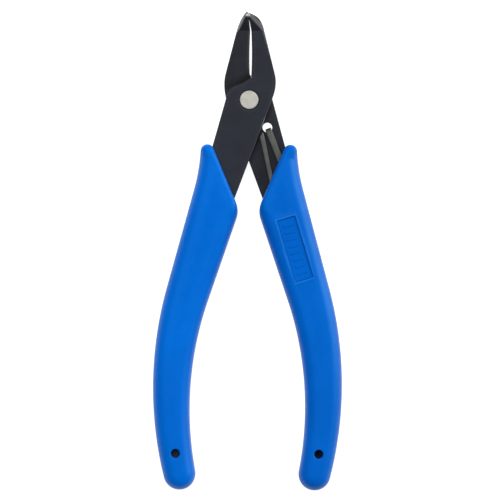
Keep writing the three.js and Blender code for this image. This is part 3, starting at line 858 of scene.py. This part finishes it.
def steel_half(name, side, front, back, bores, rows, body):
    outline = even_outline(half_outline(side), STEEL_STEP)
    skin = plate(outline, STEEL_EDGE, front, back, bores, rows)
    half = mesh_object(name, skin, body)

    # On the front face only: bare ground flanks, and painted light along the rear half's ramp.
    def bare_and_painted_light(x, y, z):
        on_front = np.abs(z - front(x, y)) < FACE_BAND
        worn = np.where(y > FLANK_BEVEL_END, ground_share(side, x, y), ramp_light_share(side, x, y))
        return np.where(on_front, worn, 0)

    mark(half, "bare_and_painted_light", bare_and_painted_light)

    # Painted highlights: the glint on the point flat, and light along the front half's inner edge
    # beside the hole.
    def bright(x, y, z):
        on_front = z > tip_back(y) + SHEET / 2
        return on_front * np.maximum(flat_glint_share(x, y), hole_edge_highlight(x, y) * (side > 0))

    mark(half, "bright", bright)
    return half


def front_steel():
    bores = [((0, 0), rivet_bore(FRONT_FACE, 1))]
    rows = np.vstack([tip_rows(), flank_rows(1)])
    half = steel_half("steel_front_half", 1, front_front, front_back, bores, rows, "front_body")
    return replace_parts(half, "front_half")


def rear_steel():
    bores = [((0, 0), rivet_bore(REAR_LAYER, -1)), (SPRING_HOLE_AT, spring_bore())]
    rows = np.vstack([tip_rows(), flank_rows(-1), joggle_rows()])
    half = steel_half("steel_rear_half", -1, rear_front, rear_back, bores, rows, "rear_body")
    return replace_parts(half, "rear_half")


# ---- rivet


def lathe(name, profile, body, facets=96):
    """A round solid about the pivot. profile is (radius, level) from the front middle to the back."""
    skin = Skin()
    rows = [skin.add(raised(circle((0, 0), r, facets), z)) for r, z in profile[1:-1]]
    first = skin.add([(0, 0, profile[0][1])])[0]
    last = skin.add([(0, 0, profile[-1][1])])[0]
    skin.join(rows)
    for centre, row in ((first, rows[0]), (last, rows[-1])):
        skin.faces += [(centre, row[i], row[(i + 1) % facets]) for i in range(facets)]
    return mesh_object(name, skin, body)


def rivet():
    """Two flush heads with rolled rims and a shank between them."""
    top = FRONT_FACE + RIVET_PROUD
    inner = RIVET_HEAD - RIVET_ROLL
    fall = RIVET_ROLL * RIVET_CROWN
    crown = [(inner * s, top - fall * s**3) for s in RIVET_RINGS]
    roll = [
        (inner + RIVET_ROLL * math.sin(a), top - fall - RIVET_ROLL * (1 - math.cos(a)))
        for a in np.linspace(0, math.pi / 2, 7)[1:]
    ]
    side = [(RIVET_HEAD, FRONT_FACE - RIVET_RIM), (RIVET_SHANK, FRONT_FACE - RIVET_SINK)]
    half = [*crown, *roll, *side]
    profile = [(0, top), *half, *[(r, -z) for r, z in half[::-1]], (0, -top)]
    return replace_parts(lathe("rivet", profile, "front_body"), "pivot_rivet")


# ---- return spring


HOOKED_END = np.array(SPRING_HOLE_AT)


def free_end():
    """Where the free leg's centre line passes its place beside the front arm's inner edge."""
    beside = over_at(-ARM_INNER_ANGLE) * (FREE_LEG / 2 + TIP_TOUCH)
    return np.array([0, -ARM_CROSSING]) - down_at(-ARM_INNER_ANGLE) * TIP_UP_ARM + beside


def spring_loop():
    fixed, free = down_at(FIXED_ANGLE), down_at(FREE_ANGLE)
    a = HOOKED_END - over_at(FIXED_ANGLE) * LOOP_RADIUS
    b = free_end() + over_at(FREE_ANGLE) * LOOP_RADIUS
    return a + fixed * cross(b - a, free) / cross(fixed, free)


def loop_side(centre, fixed_offset, free_offset, steps=28):
    radius = LOOP_RADIUS + np.linspace(fixed_offset, free_offset, steps + 1)
    return arc(centre, radius, FIXED_ANGLE, FREE_ANGLE - math.pi, steps)


def level_plate(name, outline, radius, low, high, body, spacing=SPRING_GRID, levels=2):
    skin = plate(outline, radius, level_at(high), level_at(low), spacing=spacing, levels=levels)
    return mesh_object(name, skin, body)


def leg_place(x, y, end, down):
    """How far down the hooked leg a place is, from the leg's end."""
    return (x - end[0]) * down[0] + (y - end[1]) * down[1]


def hooked_spring():
    """The leg hooked into the rear arm and the loop, with the tab turned down into the hole."""
    loop, over, down = spring_loop(), over_at(FIXED_ANGLE), down_at(FIXED_ANGLE)
    corner = SPRING_HOLE - TAB_FIT
    tab_half = corner * math.sin(TAB_CORNER)
    end = HOOKED_END + down * (corner * math.cos(TAB_CORNER) - TAB_THICKNESS)
    foot = loop + over * LOOP_RADIUS
    half = FIXED_LEG / 2
    outline = np.vstack([
        [end - over * half, end + over * half, foot + over * half],
        loop_side(loop, half, FREE_LEG / 2),
        loop_side(loop, -half, -FREE_LEG / 2)[::-1],
    ])
    outline = even_outline(outline, SPRING_STEP)
    top = FRONT_LAYER + SPRING_SHEET
    radius = np.where((outline - end) @ down < SPRING_BEND_BAND, SPRING_BEND, SPRING_EDGE)
    leg = level_plate("spring_hooked_leg", outline, radius, FRONT_LAYER, top, None)
    corners = ((-1, 0), (1, 0), (1, 1), (-1, 1))
    tab = np.array([end + over * tab_half * a + down * TAB_THICKNESS * b for a, b in corners])
    tab = even_outline(tab, TAB_STEP)
    hook = level_plate("hook", tab, TAB_EDGE, REAR_LAYER, top - SPRING_BEND, None, TAB_GRID, levels=8)
    combine(leg, hook, "UNION")
    # The hooked leg's end, where it turns down into the hole, is painted near-black: a painted shade.
    mark(leg, "painted_shade", lambda x, y, z: 1 - eased((leg_place(x, y, end, down) - END_DARK) / END_FADE))
    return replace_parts(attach(leg, "rear_body"), "return_spring")


def free_leg():
    """The straight leg that pushes the front arm open, with its slanted end."""
    over, up = over_at(FREE_ANGLE), -down_at(FREE_ANGLE)
    root = spring_loop() - over * LOOP_RADIUS + up * SPRING_SPLIT
    half = FREE_LEG / 2
    cut = FREE_LEG - FREE_END_WIDTH
    end = free_end() + up * FREE_END_PAST
    outline = np.array([
        root - over * half,
        root + over * half,
        end + over * half,
        end + over * (cut - half),
        end - over * half - up * cut / math.tan(FREE_END_SLANT),
    ])
    outline = even_outline(outline, SPRING_STEP)
    top = FRONT_LAYER + SPRING_SHEET
    leg = level_plate("spring_push_leg", outline, SPRING_EDGE, FRONT_LAYER, top, "spring_leg")
    mark(leg, "painted_shade", nowhere)
    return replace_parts(leg, "spring_free_leg")


# ---- grips


def combine(obj, tool, operation):
    """Joins or cuts an object with another closed one, which is then removed."""
    modifier = obj.modifiers.new("combine", "BOOLEAN")
    modifier.operation = operation
    modifier.solver = "EXACT"
    modifier.object = tool
    graph = bpy.context.evaluated_depsgraph_get()
    made = bpy.data.meshes.new_from_object(obj.evaluated_get(graph))
    obj.modifiers.clear()
    obj.data = made
    bpy.data.objects.remove(tool)
    finish_shading(obj)


def mouth_x(y):
    return MOUTH_X + (y + MOUTH_Y) * math.tan(MOUTH_ANGLE)


def mouth_crossing():
    """How far along the handle its inner side crosses the mouth's line."""
    for along in np.arange(0, HANDLE_LENGTH / 2, SEARCH_STEP):
        x, y = handle_edge(along, -half_width(along))
        if x > mouth_x(y):
            return along
    return 0


def mouth_tip():
    """The round end beside the mouth, which touches the mouth's line and the grip's outer side."""
    facing = handle_point(MOUTH_TIP)[2]
    side = handle_edge(MOUTH_TIP, half_width(MOUTH_TIP))
    gap = (side[0] - mouth_x(side[1])) * math.cos(MOUTH_ANGLE)
    radius = gap / (1 + math.cos(facing + MOUTH_ANGLE))
    centre = side - radius * over_at(facing)
    return arc(centre, radius, math.pi - MOUTH_ANGLE, facing, steps=16)


def grip_outline():
    """Plan of the right grip, and 1 for each point that lies on its mouth."""
    crossing = mouth_crossing()
    low = handle_edge(crossing, -half_width(crossing))
    sides = handle_loop(MOUTH_TIP, crossing + MOUTH_CORNER, HANDLE_LENGTH, 0, GRIP_SIDE_STEP)
    low_y = low[1] + MOUTH_CORNER
    lower = quadratic(sides[-1], low, (mouth_x(low_y), low_y), steps=12)
    outline = closer(without_repeats(np.vstack([mouth_tip(), sides[1:-1], lower])), GRIP_STEP)
    x, y = outline.T
    on_mouth = np.abs(x - mouth_x(y)) < MOUTH_BAND
    return outline, (on_mouth & (y > low[1] - 1)).astype(float)


def spread(values, loop, reach, how):
    """Each value replaced by the least or the mean of its neighbours along a closed loop."""
    steps = np.linalg.norm(np.roll(loop, -1, 0) - loop, axis=1)
    place = np.concatenate([[0], np.cumsum(steps)])[:-1]
    total = steps.sum()
    gaps = np.abs(place[:, None] - place[None])
    near = np.minimum(gaps, total - gaps) < reach
    if how == "least":
        return np.where(near, values[None], np.inf).min(1)
    return (near * values[None]).sum(1) / near.sum(1)


def room(loop):
    """How far each point of a loop is from the loop's other side, straight inwards."""
    move = inward(loop)
    move /= np.linalg.norm(move, axis=1)[:, None]
    starts, ends = loop, np.roll(loop, -1, 0)
    best = np.full(len(loop), np.inf)
    for i, (origin, direction) in enumerate(zip(loop, move)):
        edge = ends - starts
        to = starts - origin
        skew = cross(direction, edge)
        skew = np.where(np.abs(skew) < TINY, TINY, skew)
        t, u = cross(to, edge) / skew, cross(to, direction) / skew
        hits = t[(t > ROOM_FROM) & (u >= 0) & (u <= 1)]
        if len(hits):
            best[i] = hits.min()
    return best


def curve_radius(loop):
    a, b = np.roll(loop, 2, 0), np.roll(loop, -2, 0)
    ab, bc, ac = (np.linalg.norm(d, axis=1) for d in (loop - a, b - loop, b - a))
    return ab * bc * ac / np.maximum(2 * np.abs(cross(loop - a, b - a)), TINY)


def grip_rounding(outline, on_mouth):
    """Edge radius along a grip: large on its sides, small on its lip, less where it is narrow."""
    mouth = spread(on_mouth, outline, MOUTH_BLEND, "mean")
    radius = GRIP_ROUND + (GRIP_LIP - GRIP_ROUND) * mouth
    radius = np.minimum(radius, room(outline) * GRIP_ROOM_SHARE)
    radius = np.minimum(radius, curve_radius(outline) * GRIP_CURVE_SHARE)
    return spread(spread(radius, outline, GRIP_ROUND_LEAST, "least"), outline, GRIP_ROUND_BLEND, "mean")


def panel_axes():
    x, y, angle = handle_point(PANEL_ALONG)
    return np.array([x, -y]), over_at(angle)


def on_panel(x, y):
    """Place on the recessed panel: across it and along it."""
    middle, over = panel_axes()
    dx, dy = x - middle[0], y - middle[1]
    return dx * over[0] + dy * over[1], -dx * over[1] + dy * over[0]


def panel_border(x, y):
    """How far inside the panel's edge a place is, negative outside it."""
    u, v = on_panel(x, y)
    return np.minimum(PANEL_WIDTH / 2 - np.abs(u), PANEL_LENGTH / 2 - np.abs(v))


def around(border, middle, reach):
    return np.clip(1 - np.abs(border - middle) / reach, 0, 1)


def panel_line(middle, reach):
    """A mark that is 1 on a line round the panel on the grip's front."""
    return lambda x, y, z: (z > 0) * around(panel_border(x, y), middle, reach)


def bar_middles():
    pitch = (PANEL_LENGTH - 2 * BAR_MARGIN) / BAR_COUNT
    return (np.arange(BAR_COUNT) - (BAR_COUNT - 1) / 2) * pitch


def panelled(x, y):
    """The right grip's front: flat, with a sunk panel that holds a row of plain raised bars."""
    u, v = on_panel(x, y)
    border = panel_border(x, y)
    level = GRIP_HALF - PANEL_DEPTH * np.clip(border / PANEL_RAMP, 0, 1)
    level = level + BEAD_HEIGHT * around(border, -BEAD_WIDTH / 2, BEAD_WIDTH / 2)
    for middle in bar_middles():
        reach = np.minimum(BAR_LENGTH / 2 - np.abs(u), BAR_WIDTH / 2 - np.abs(v - middle))
        level = level + BAR_HEIGHT * np.clip(reach / BAR_RAMP, 0, 1)
    return level


def rectangle(width, length, middle_v, inset, spacing):
    w, h = width / 2 - inset, length / 2 - inset
    return closer(np.array([(w * a, middle_v + h * b) for a, b in SQUARE]), spacing)


PANEL_LINES = (-BEAD_WIDTH, -BEAD_WIDTH / 2, 0, PANEL_RAMP, CREASE)


def panel_rows():
    rows = [rectangle(PANEL_WIDTH, PANEL_LENGTH, 0, d, PANEL_STEP) for d in PANEL_LINES]
    for middle in bar_middles():
        rows += [rectangle(BAR_LENGTH, BAR_WIDTH, middle, d, BAR_STEP) for d in (0, BAR_RAMP)]
    uv = np.vstack(rows)
    middle, over = panel_axes()
    up = np.array([-over[1], over[0]])
    return middle + uv[:, :1] * over + uv[:, 1:] * up


def prism(name, outline, low, high):
    """A plain closed tool for cutting."""
    outline = anticlockwise(outline)
    skin = Skin()
    tops = skin.add(raised(outline, high))
    lows = skin.add(raised(outline, low))
    skin.join([tops, lows])
    skin.faces += [tuple(tops), tuple(lows[::-1])]
    return mesh_object(name, skin, None)


def sight_hole_tool(side, floor):
    """A round tool with a flared top, which leaves the hole's edge rolled over."""
    x, y, _ = handle_point(HANDLE_LENGTH - SIGHT_HOLE_FROM_END)
    roll = SIGHT_HOLE_ROLL
    flare = [
        (SIGHT_HOLE + roll * (1 - math.sin(a)), GRIP_HALF - roll * (1 - math.cos(a)))
        for a in np.linspace(0, math.pi / 2, 6)
    ]
    chain = [(flare[0][0], GRIP_HALF + 1), *flare, (SIGHT_HOLE, floor)]
    skin = Skin()
    _, first, last = bore(skin, (side * x, -y), chain, facets=40)
    skin.faces += [tuple(first), tuple(last)]
    return mesh_object("sight_hole_tool", skin, None)


def tang_tool(side, layer):
    inset = GRIP_WALL - GRIP_FIT
    outline = handle_loop(-GRIP_WIDE, -GRIP_WIDE, HANDLE_LENGTH - TANG_SHORT, inset) * (side, 1)
    return prism("tang_tool", outline, layer - GRIP_FIT, layer + SHEET + GRIP_FIT)


def spring_tools():
    """The room for the spring's loop, and for its free leg to swing."""
    loop = spring_loop()
    radius = LOOP_RADIUS + FIXED_LEG / 2 + GRIP_FIT
    swung = FREE_ANGLE + FREE_LEG_SWING
    left, right = loop - over_at(swung) * radius, loop + over_at(FIXED_ANGLE) * radius
    past = np.linalg.norm(loop - free_end())
    far_right, far_left = right - down_at(FIXED_ANGLE) * past, left - down_at(swung) * past
    throat = np.array([left, right, far_right, far_left])
    top, low = FRONT_LAYER + SPRING_SHEET + GRIP_FIT, REAR_LAYER + SHEET / 2
    ring = circle(loop, radius, facets=48)
    return [prism("throat_tool", throat, low, top), prism("loop_tool", ring, low, top)]


def grip(name, side, front, layer, rows, node, body):
    outline, on_mouth = grip_outline()
    radius = grip_rounding(outline, on_mouth)
    outline = outline * (side, 1)
    if side > 0:
        outline, radius = outline[::-1], radius[::-1]

    skin = plate(outline, radius, front, level_at(-GRIP_HALF), (), rows, GRIP_GRID, steps=9, levels=4)
    made = mesh_object(name, skin, None)
    tools = [tang_tool(side, layer), sight_hole_tool(side, layer + SHEET / 2)]
    if layer == REAR_LAYER:
        tools += spring_tools()
    for tool in tools:
        combine(made, tool, "DIFFERENCE")
    # Painted shade just inside the panel's edge, and a painted highlight on the bead round it.
    lines = {"panel_shade": (PANEL_RAMP, CREASE / 2), "lip": (-BEAD_WIDTH / 2, BEAD_WIDTH / 2)}
    for line, place in lines.items():
        mark(made, line, panel_line(*place) if front is panelled else nowhere)
    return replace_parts(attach(made, body), node)


# ---- materials

# Both jaws' ground flanks are the same metal; the front half's pair is darker, a painted shade on the
# right jaw's flank, which faces the key light.
FRONT_STEEL = {"dark": 0x2A2D34, "light": 0x30333B, "worn": 0x5C5E64, "ground": (0x303133, 0x5A5A58)}
REAR_STEEL = {"dark": 0x25272D, "light": 0x2D2F36, "worn": 0x52545A, "ground": (0x3E3F41, 0x868683)}
# Near-white steel for the painted highlights.
PAINTED_HIGHLIGHT_STEEL = 0xD0D0CC
ROLLING_TURN = 0.34
RIVET_GREYS = (0xD2CEC4, 0xE0DED6)
RIVET_PITS = 0xB4B0A5
SPRING_GREYS = (0x626463, 0x74756C)
SPRING_LINES = 0x55575A
SPRING_PAINTED_SHADE = 0x050506
LEFT_BLUES = (0x005FC2, 0x0066CC)
RIGHT_BLUES = (0x0057B6, 0x005FC0)
# Darker blue for the painted shade inside the panel's edge, lighter blue for the painted highlight on
# its bead.
GRIP_PAINTED_SHADE = 0x003E8C
GRIP_PAINTED_HIGHLIGHT = 0x2F86DE


class Paint:
    """A node material while it is made."""

    def __init__(self, name, **plain):
        self.material = bpy.data.materials.new(name)
        self.material.use_nodes = True
        self.nodes = self.material.node_tree.nodes
        self.links = self.material.node_tree.links
        self.shader = self.nodes["Principled BSDF"]
        for key, value in plain.items():
            self.shader.inputs[key.replace("_", " ")].default_value = value

    def feed(self, socket, value):
        """Gives a socket a plain value or another node's output."""
        if isinstance(value, bpy.types.NodeSocket):
            self.links.new(value, socket)
        else:
            socket.default_value = value

    def node(self, kind, **inputs):
        """A node with its inputs fed. An underscore in an input's name stands for a space."""
        node = self.nodes.new(kind)
        for key, value in inputs.items():
            self.feed(node.inputs[key.replace("_", " ")], value)
        return node

    def noise(self, size, detail=3, stretch=(1, 1, 1), turn=0.0, rough=0.5):
        """Noise with features about size millimetres across, stretched along its own axes."""
        scale = [1 / (MM * size * s) for s in stretch]
        place = self.node("ShaderNodeTexCoord").outputs["Object"]
        place = self.node("ShaderNodeMapping", Vector=place, Rotation=(0, 0, turn), Scale=scale)
        fine = {"Scale": 1, "Detail": detail, "Roughness": rough}
        return self.node("ShaderNodeTexNoise", Vector=place.outputs["Vector"], **fine).outputs["Fac"]

    def stored(self, name):
        node = self.node("ShaderNodeAttribute")
        node.attribute_name = name
        return node.outputs["Fac"]

    def spread(self, value, low, high, to_low=0.0, to_high=1.0):
        ends = {"From_Min": low, "From_Max": high, "To_Min": to_low, "To_Max": to_high}
        return self.node("ShaderNodeMapRange", Value=value, **ends).outputs["Result"]

    def sum(self, kind, a, b):
        node = self.node("ShaderNodeMath")
        node.operation = kind
        self.feed(node.inputs[0], a)
        self.feed(node.inputs[1], b)
        return node.outputs["Value"]

    def times(self, a, b):
        return self.sum("MULTIPLY", a, b)

    def mix(self, share, a, b):
        """One colour turned into another by a share. The colour sockets come sixth and seventh."""
        node = self.node("ShaderNodeMix")
        node.data_type = "RGBA"
        for i, value in ((0, share), (6, a), (7, b)):
            self.feed(node.inputs[i], value)
        return node.outputs[2]

    def bump(self, height, strength, distance):
        bump = self.node("ShaderNodeBump", Height=height, Strength=strength, Distance=distance * MM)
        self.feed(self.shader.inputs["Normal"], bump.outputs["Normal"])

    def done(self, colour, roughness):
        self.feed(self.shader.inputs["Base Color"], colour)
        self.feed(self.shader.inputs["Roughness"], roughness)
        return self.material


def colour(code):
    """Linear colour from an sRGB hex code."""
    parts = [(code >> shift & 255) / 255 for shift in (16, 8, 0)]
    return tuple(p / 12.92 if p <= 0.04045 else ((p + 0.055) / 1.055) ** 2.4 for p in parts) + (1.0,)


def black_steel(name, turn, dark, light, worn, ground):
    """Blackened sheet: cloudy finish, faint rolling lines, worn edges, ground flanks, painted light on
    the ramp and painted highlights.
    """
    paint = Paint(name, Metallic=0.2, Specular_IOR_Level=0.3)
    cloud = paint.spread(paint.noise(5.0, detail=4), 0.3, 0.7)
    speck = paint.spread(paint.noise(0.35, detail=2), 0.35, 0.65)
    line = paint.noise(0.16, 2, (1, 30, 1), turn)
    base = paint.mix(cloud, colour(dark), colour(light))
    base = paint.mix(paint.times(speck, 0.25), base, colour(light))
    wear = paint.spread(paint.noise(1.4, detail=4), 0.35, 0.65, 0.25, 1)
    base = paint.mix(paint.times(paint.stored("edge"), wear), base, colour(worn))
    streak = paint.spread(paint.noise(0.22, 4, (1, 1, 1), 0.0, 0.7), 0.38, 0.62)
    metal = paint.mix(streak, colour(ground[0]), colour(ground[1]))
    # Ground flanks of bare metal, and painted light on the rear half's ramp.
    base = paint.mix(paint.stored("bare_and_painted_light"), base, metal)
    # Painted highlights on the point flat and beside the spring's hole.
    base = paint.mix(paint.stored("bright"), base, colour(PAINTED_HIGHLIGHT_STEEL))
    grain = paint.sum("ADD", paint.times(line, 0.6), paint.times(speck, 0.5))
    rough = paint.spread(grain, 0.2, 0.9, 0.4, 0.56)
    paint.bump(grain, strength=0.35, distance=0.02)
    return paint.done(base, rough)


def rivet_steel():
    """Nickel-grey rivet with a cloudy tone and small pits."""
    paint = Paint("rivet_steel", Metallic=0.45)
    pits = paint.spread(paint.noise(0.4, detail=4), 0.35, 0.7)
    cloud = paint.spread(paint.noise(1.6, detail=2), 0.3, 0.7)
    base = paint.mix(cloud, colour(RIVET_GREYS[0]), colour(RIVET_GREYS[1]))
    base = paint.mix(paint.times(pits, 0.35), base, colour(RIVET_PITS))
    rough = paint.spread(pits, 0, 1, 0.38, 0.52)
    paint.bump(pits, strength=0.3, distance=0.02)
    return paint.done(base, rough)


def spring_steel():
    """Satin grey-green spring strip with lengthwise drawing lines, slight tone drift and a painted
    shade at the hooked end.
    """
    paint = Paint("spring_steel", Metallic=0.5)
    line = paint.noise(0.09, 3, (1, 40, 1), -FIXED_ANGLE)
    tint = paint.spread(paint.noise(2.5), 0.35, 0.65)
    base = paint.mix(tint, colour(SPRING_GREYS[0]), colour(SPRING_GREYS[1]))
    base = paint.mix(paint.spread(line, 0.4, 0.7, 0, 0.5), base, colour(SPRING_LINES))
    base = paint.mix(paint.stored("painted_shade"), base, colour(SPRING_PAINTED_SHADE))
    rough = paint.spread(line, 0.3, 0.7, 0.34, 0.5)
    paint.bump(line, strength=0.25, distance=0.01)
    return paint.done(base, rough)


def grip_rubber(name, deep, bright):
    """Moulded cushion grip: fine orange-peel skin, cloudy gloss and slight colour drift."""
    paint = Paint(name, Specular_IOR_Level=0.32, Specular_Tint=(0.3, 0.85, 1, 1))
    drift = paint.spread(paint.noise(14), 0.3, 0.7)
    peel = paint.noise(0.32)
    flow = paint.noise(3.2)
    base = paint.mix(drift, colour(deep), colour(bright))
    base = paint.mix(paint.spread(peel, 0.55, 0.8, 0, 0.35), base, colour(deep))
    # Painted shade inside the panel's edge and a painted highlight on its bead.
    base = paint.mix(paint.times(paint.stored("panel_shade"), 0.45), base, colour(GRIP_PAINTED_SHADE))
    base = paint.mix(paint.times(paint.stored("lip"), 0.4), base, colour(GRIP_PAINTED_HIGHLIGHT))
    gloss = paint.sum("ADD", paint.times(peel, 0.5), paint.times(flow, 0.5))
    rough = paint.spread(gloss, 0.3, 0.7, 0.34, 0.44)
    paint.bump(peel, strength=0.25, distance=0.02)
    return paint.done(base, rough)


def dress(obj, material):
    obj.data.materials.clear()
    obj.data.materials.append(material)


# ---- the tool


def build():
    front_paint = black_steel("front_black_steel", ROLLING_TURN, **FRONT_STEEL)
    rear_paint = black_steel("rear_black_steel", -ROLLING_TURN, **REAR_STEEL)
    dress(front_steel(), front_paint)
    dress(rear_steel(), rear_paint)
    dress(rivet(), rivet_steel())
    spring_paint = spring_steel()
    dress(hooked_spring(), spring_paint)
    dress(free_leg(), spring_paint)
    left = grip("grip_left", -1, level_at(GRIP_HALF), FRONT_LAYER, (), "left_grip", "front_body")
    right = grip("grip_right", 1, panelled, REAR_LAYER, panel_rows(), "right_grip", "rear_body")
    dress(left, grip_rubber("left_grip_rubber", *LEFT_BLUES))
    dress(right, grip_rubber("right_grip_rubber", *RIGHT_BLUES))


# ---- stage, light and camera

FRAME_WIDTH = 132.85
LENS = 250
SENSOR = 36
VIEW_OFFSET = (0.46, 0.31)
VIEW_LEVEL = 6.5
VIEW_ROLL = math.radians(0.34)
CLIP_END = 10
FLOOR_HALF = 3.0
FLOOR_LEVEL = -0.0002
FLOOR_GREY = 0.35
FLOOR_GLOW = 0.93
FLOOR_ROUGH = 0.9
WORLD_LIGHT = 0.06
KEY = {"place": (0.95, 0.25, 0.42), "size": (0.45, 0.9), "power": 6.5, "glossy": True}
FILL = {"place": (-0.1, 0.4, 1.0), "size": (0.9, 0.9), "power": 14, "glossy": False}


def floor():
    mesh = bpy.data.meshes.new("floor")
    corners = [(FLOOR_HALF * a, FLOOR_HALF * b, FLOOR_LEVEL) for a, b in SQUARE]
    mesh.from_pydata(corners, [], [(0, 1, 2, 3)])
    glow = {"Emission_Color": (1, 1, 1, 1), "Emission_Strength": FLOOR_GLOW}
    paint = Paint("floor_white", Base_Color=(*[FLOOR_GREY] * 3, 1), Roughness=FLOOR_ROUGH, **glow)
    mesh.materials.append(paint.material)
    added("floor", mesh)


def softbox(name, middle, place, size, power, glossy):
    """A rectangular area light aimed at the middle of the tool."""
    light = bpy.data.lights.new(name, "AREA")
    light.shape = "RECTANGLE"
    light.size, light.size_y = size
    light.energy = power
    obj = added(name, light)
    obj.location = middle + Vector(place)
    obj.rotation_euler = (middle - obj.location).to_track_quat("-Z", "Y").to_euler()
    obj.visible_glossy = glossy


def studio(middle):
    world = bpy.data.worlds.new("studio")
    bpy.context.scene.world = world
    world.use_nodes = True
    background = world.node_tree.nodes["Background"]
    background.inputs["Color"].default_value = (1, 1, 1, 1)
    background.inputs["Strength"].default_value = WORLD_LIGHT
    softbox("key", middle, **KEY)
    softbox("fill", middle, **FILL)


def camera(middle):
    data = bpy.data.cameras.new("camera")
    data.lens = LENS
    data.sensor_width = SENSOR
    data.clip_end = CLIP_END
    obj = added("camera", data)
    height = VIEW_LEVEL + FRAME_WIDTH * LENS / SENSOR
    obj.location = (middle[0] + VIEW_OFFSET[0] * MM, middle[1] + VIEW_OFFSET[1] * MM, height * MM)
    obj.rotation_euler = Euler((0, 0, VIEW_ROLL))
    bpy.context.scene.camera = obj


def main():
    middle = (Vector(CAD_BOX[0]) + Vector(CAD_BOX[1])) / 2
    build()
    floor()
    studio(middle)
    camera(middle)
    bpy.context.scene.view_settings.view_transform = "Standard"


main()
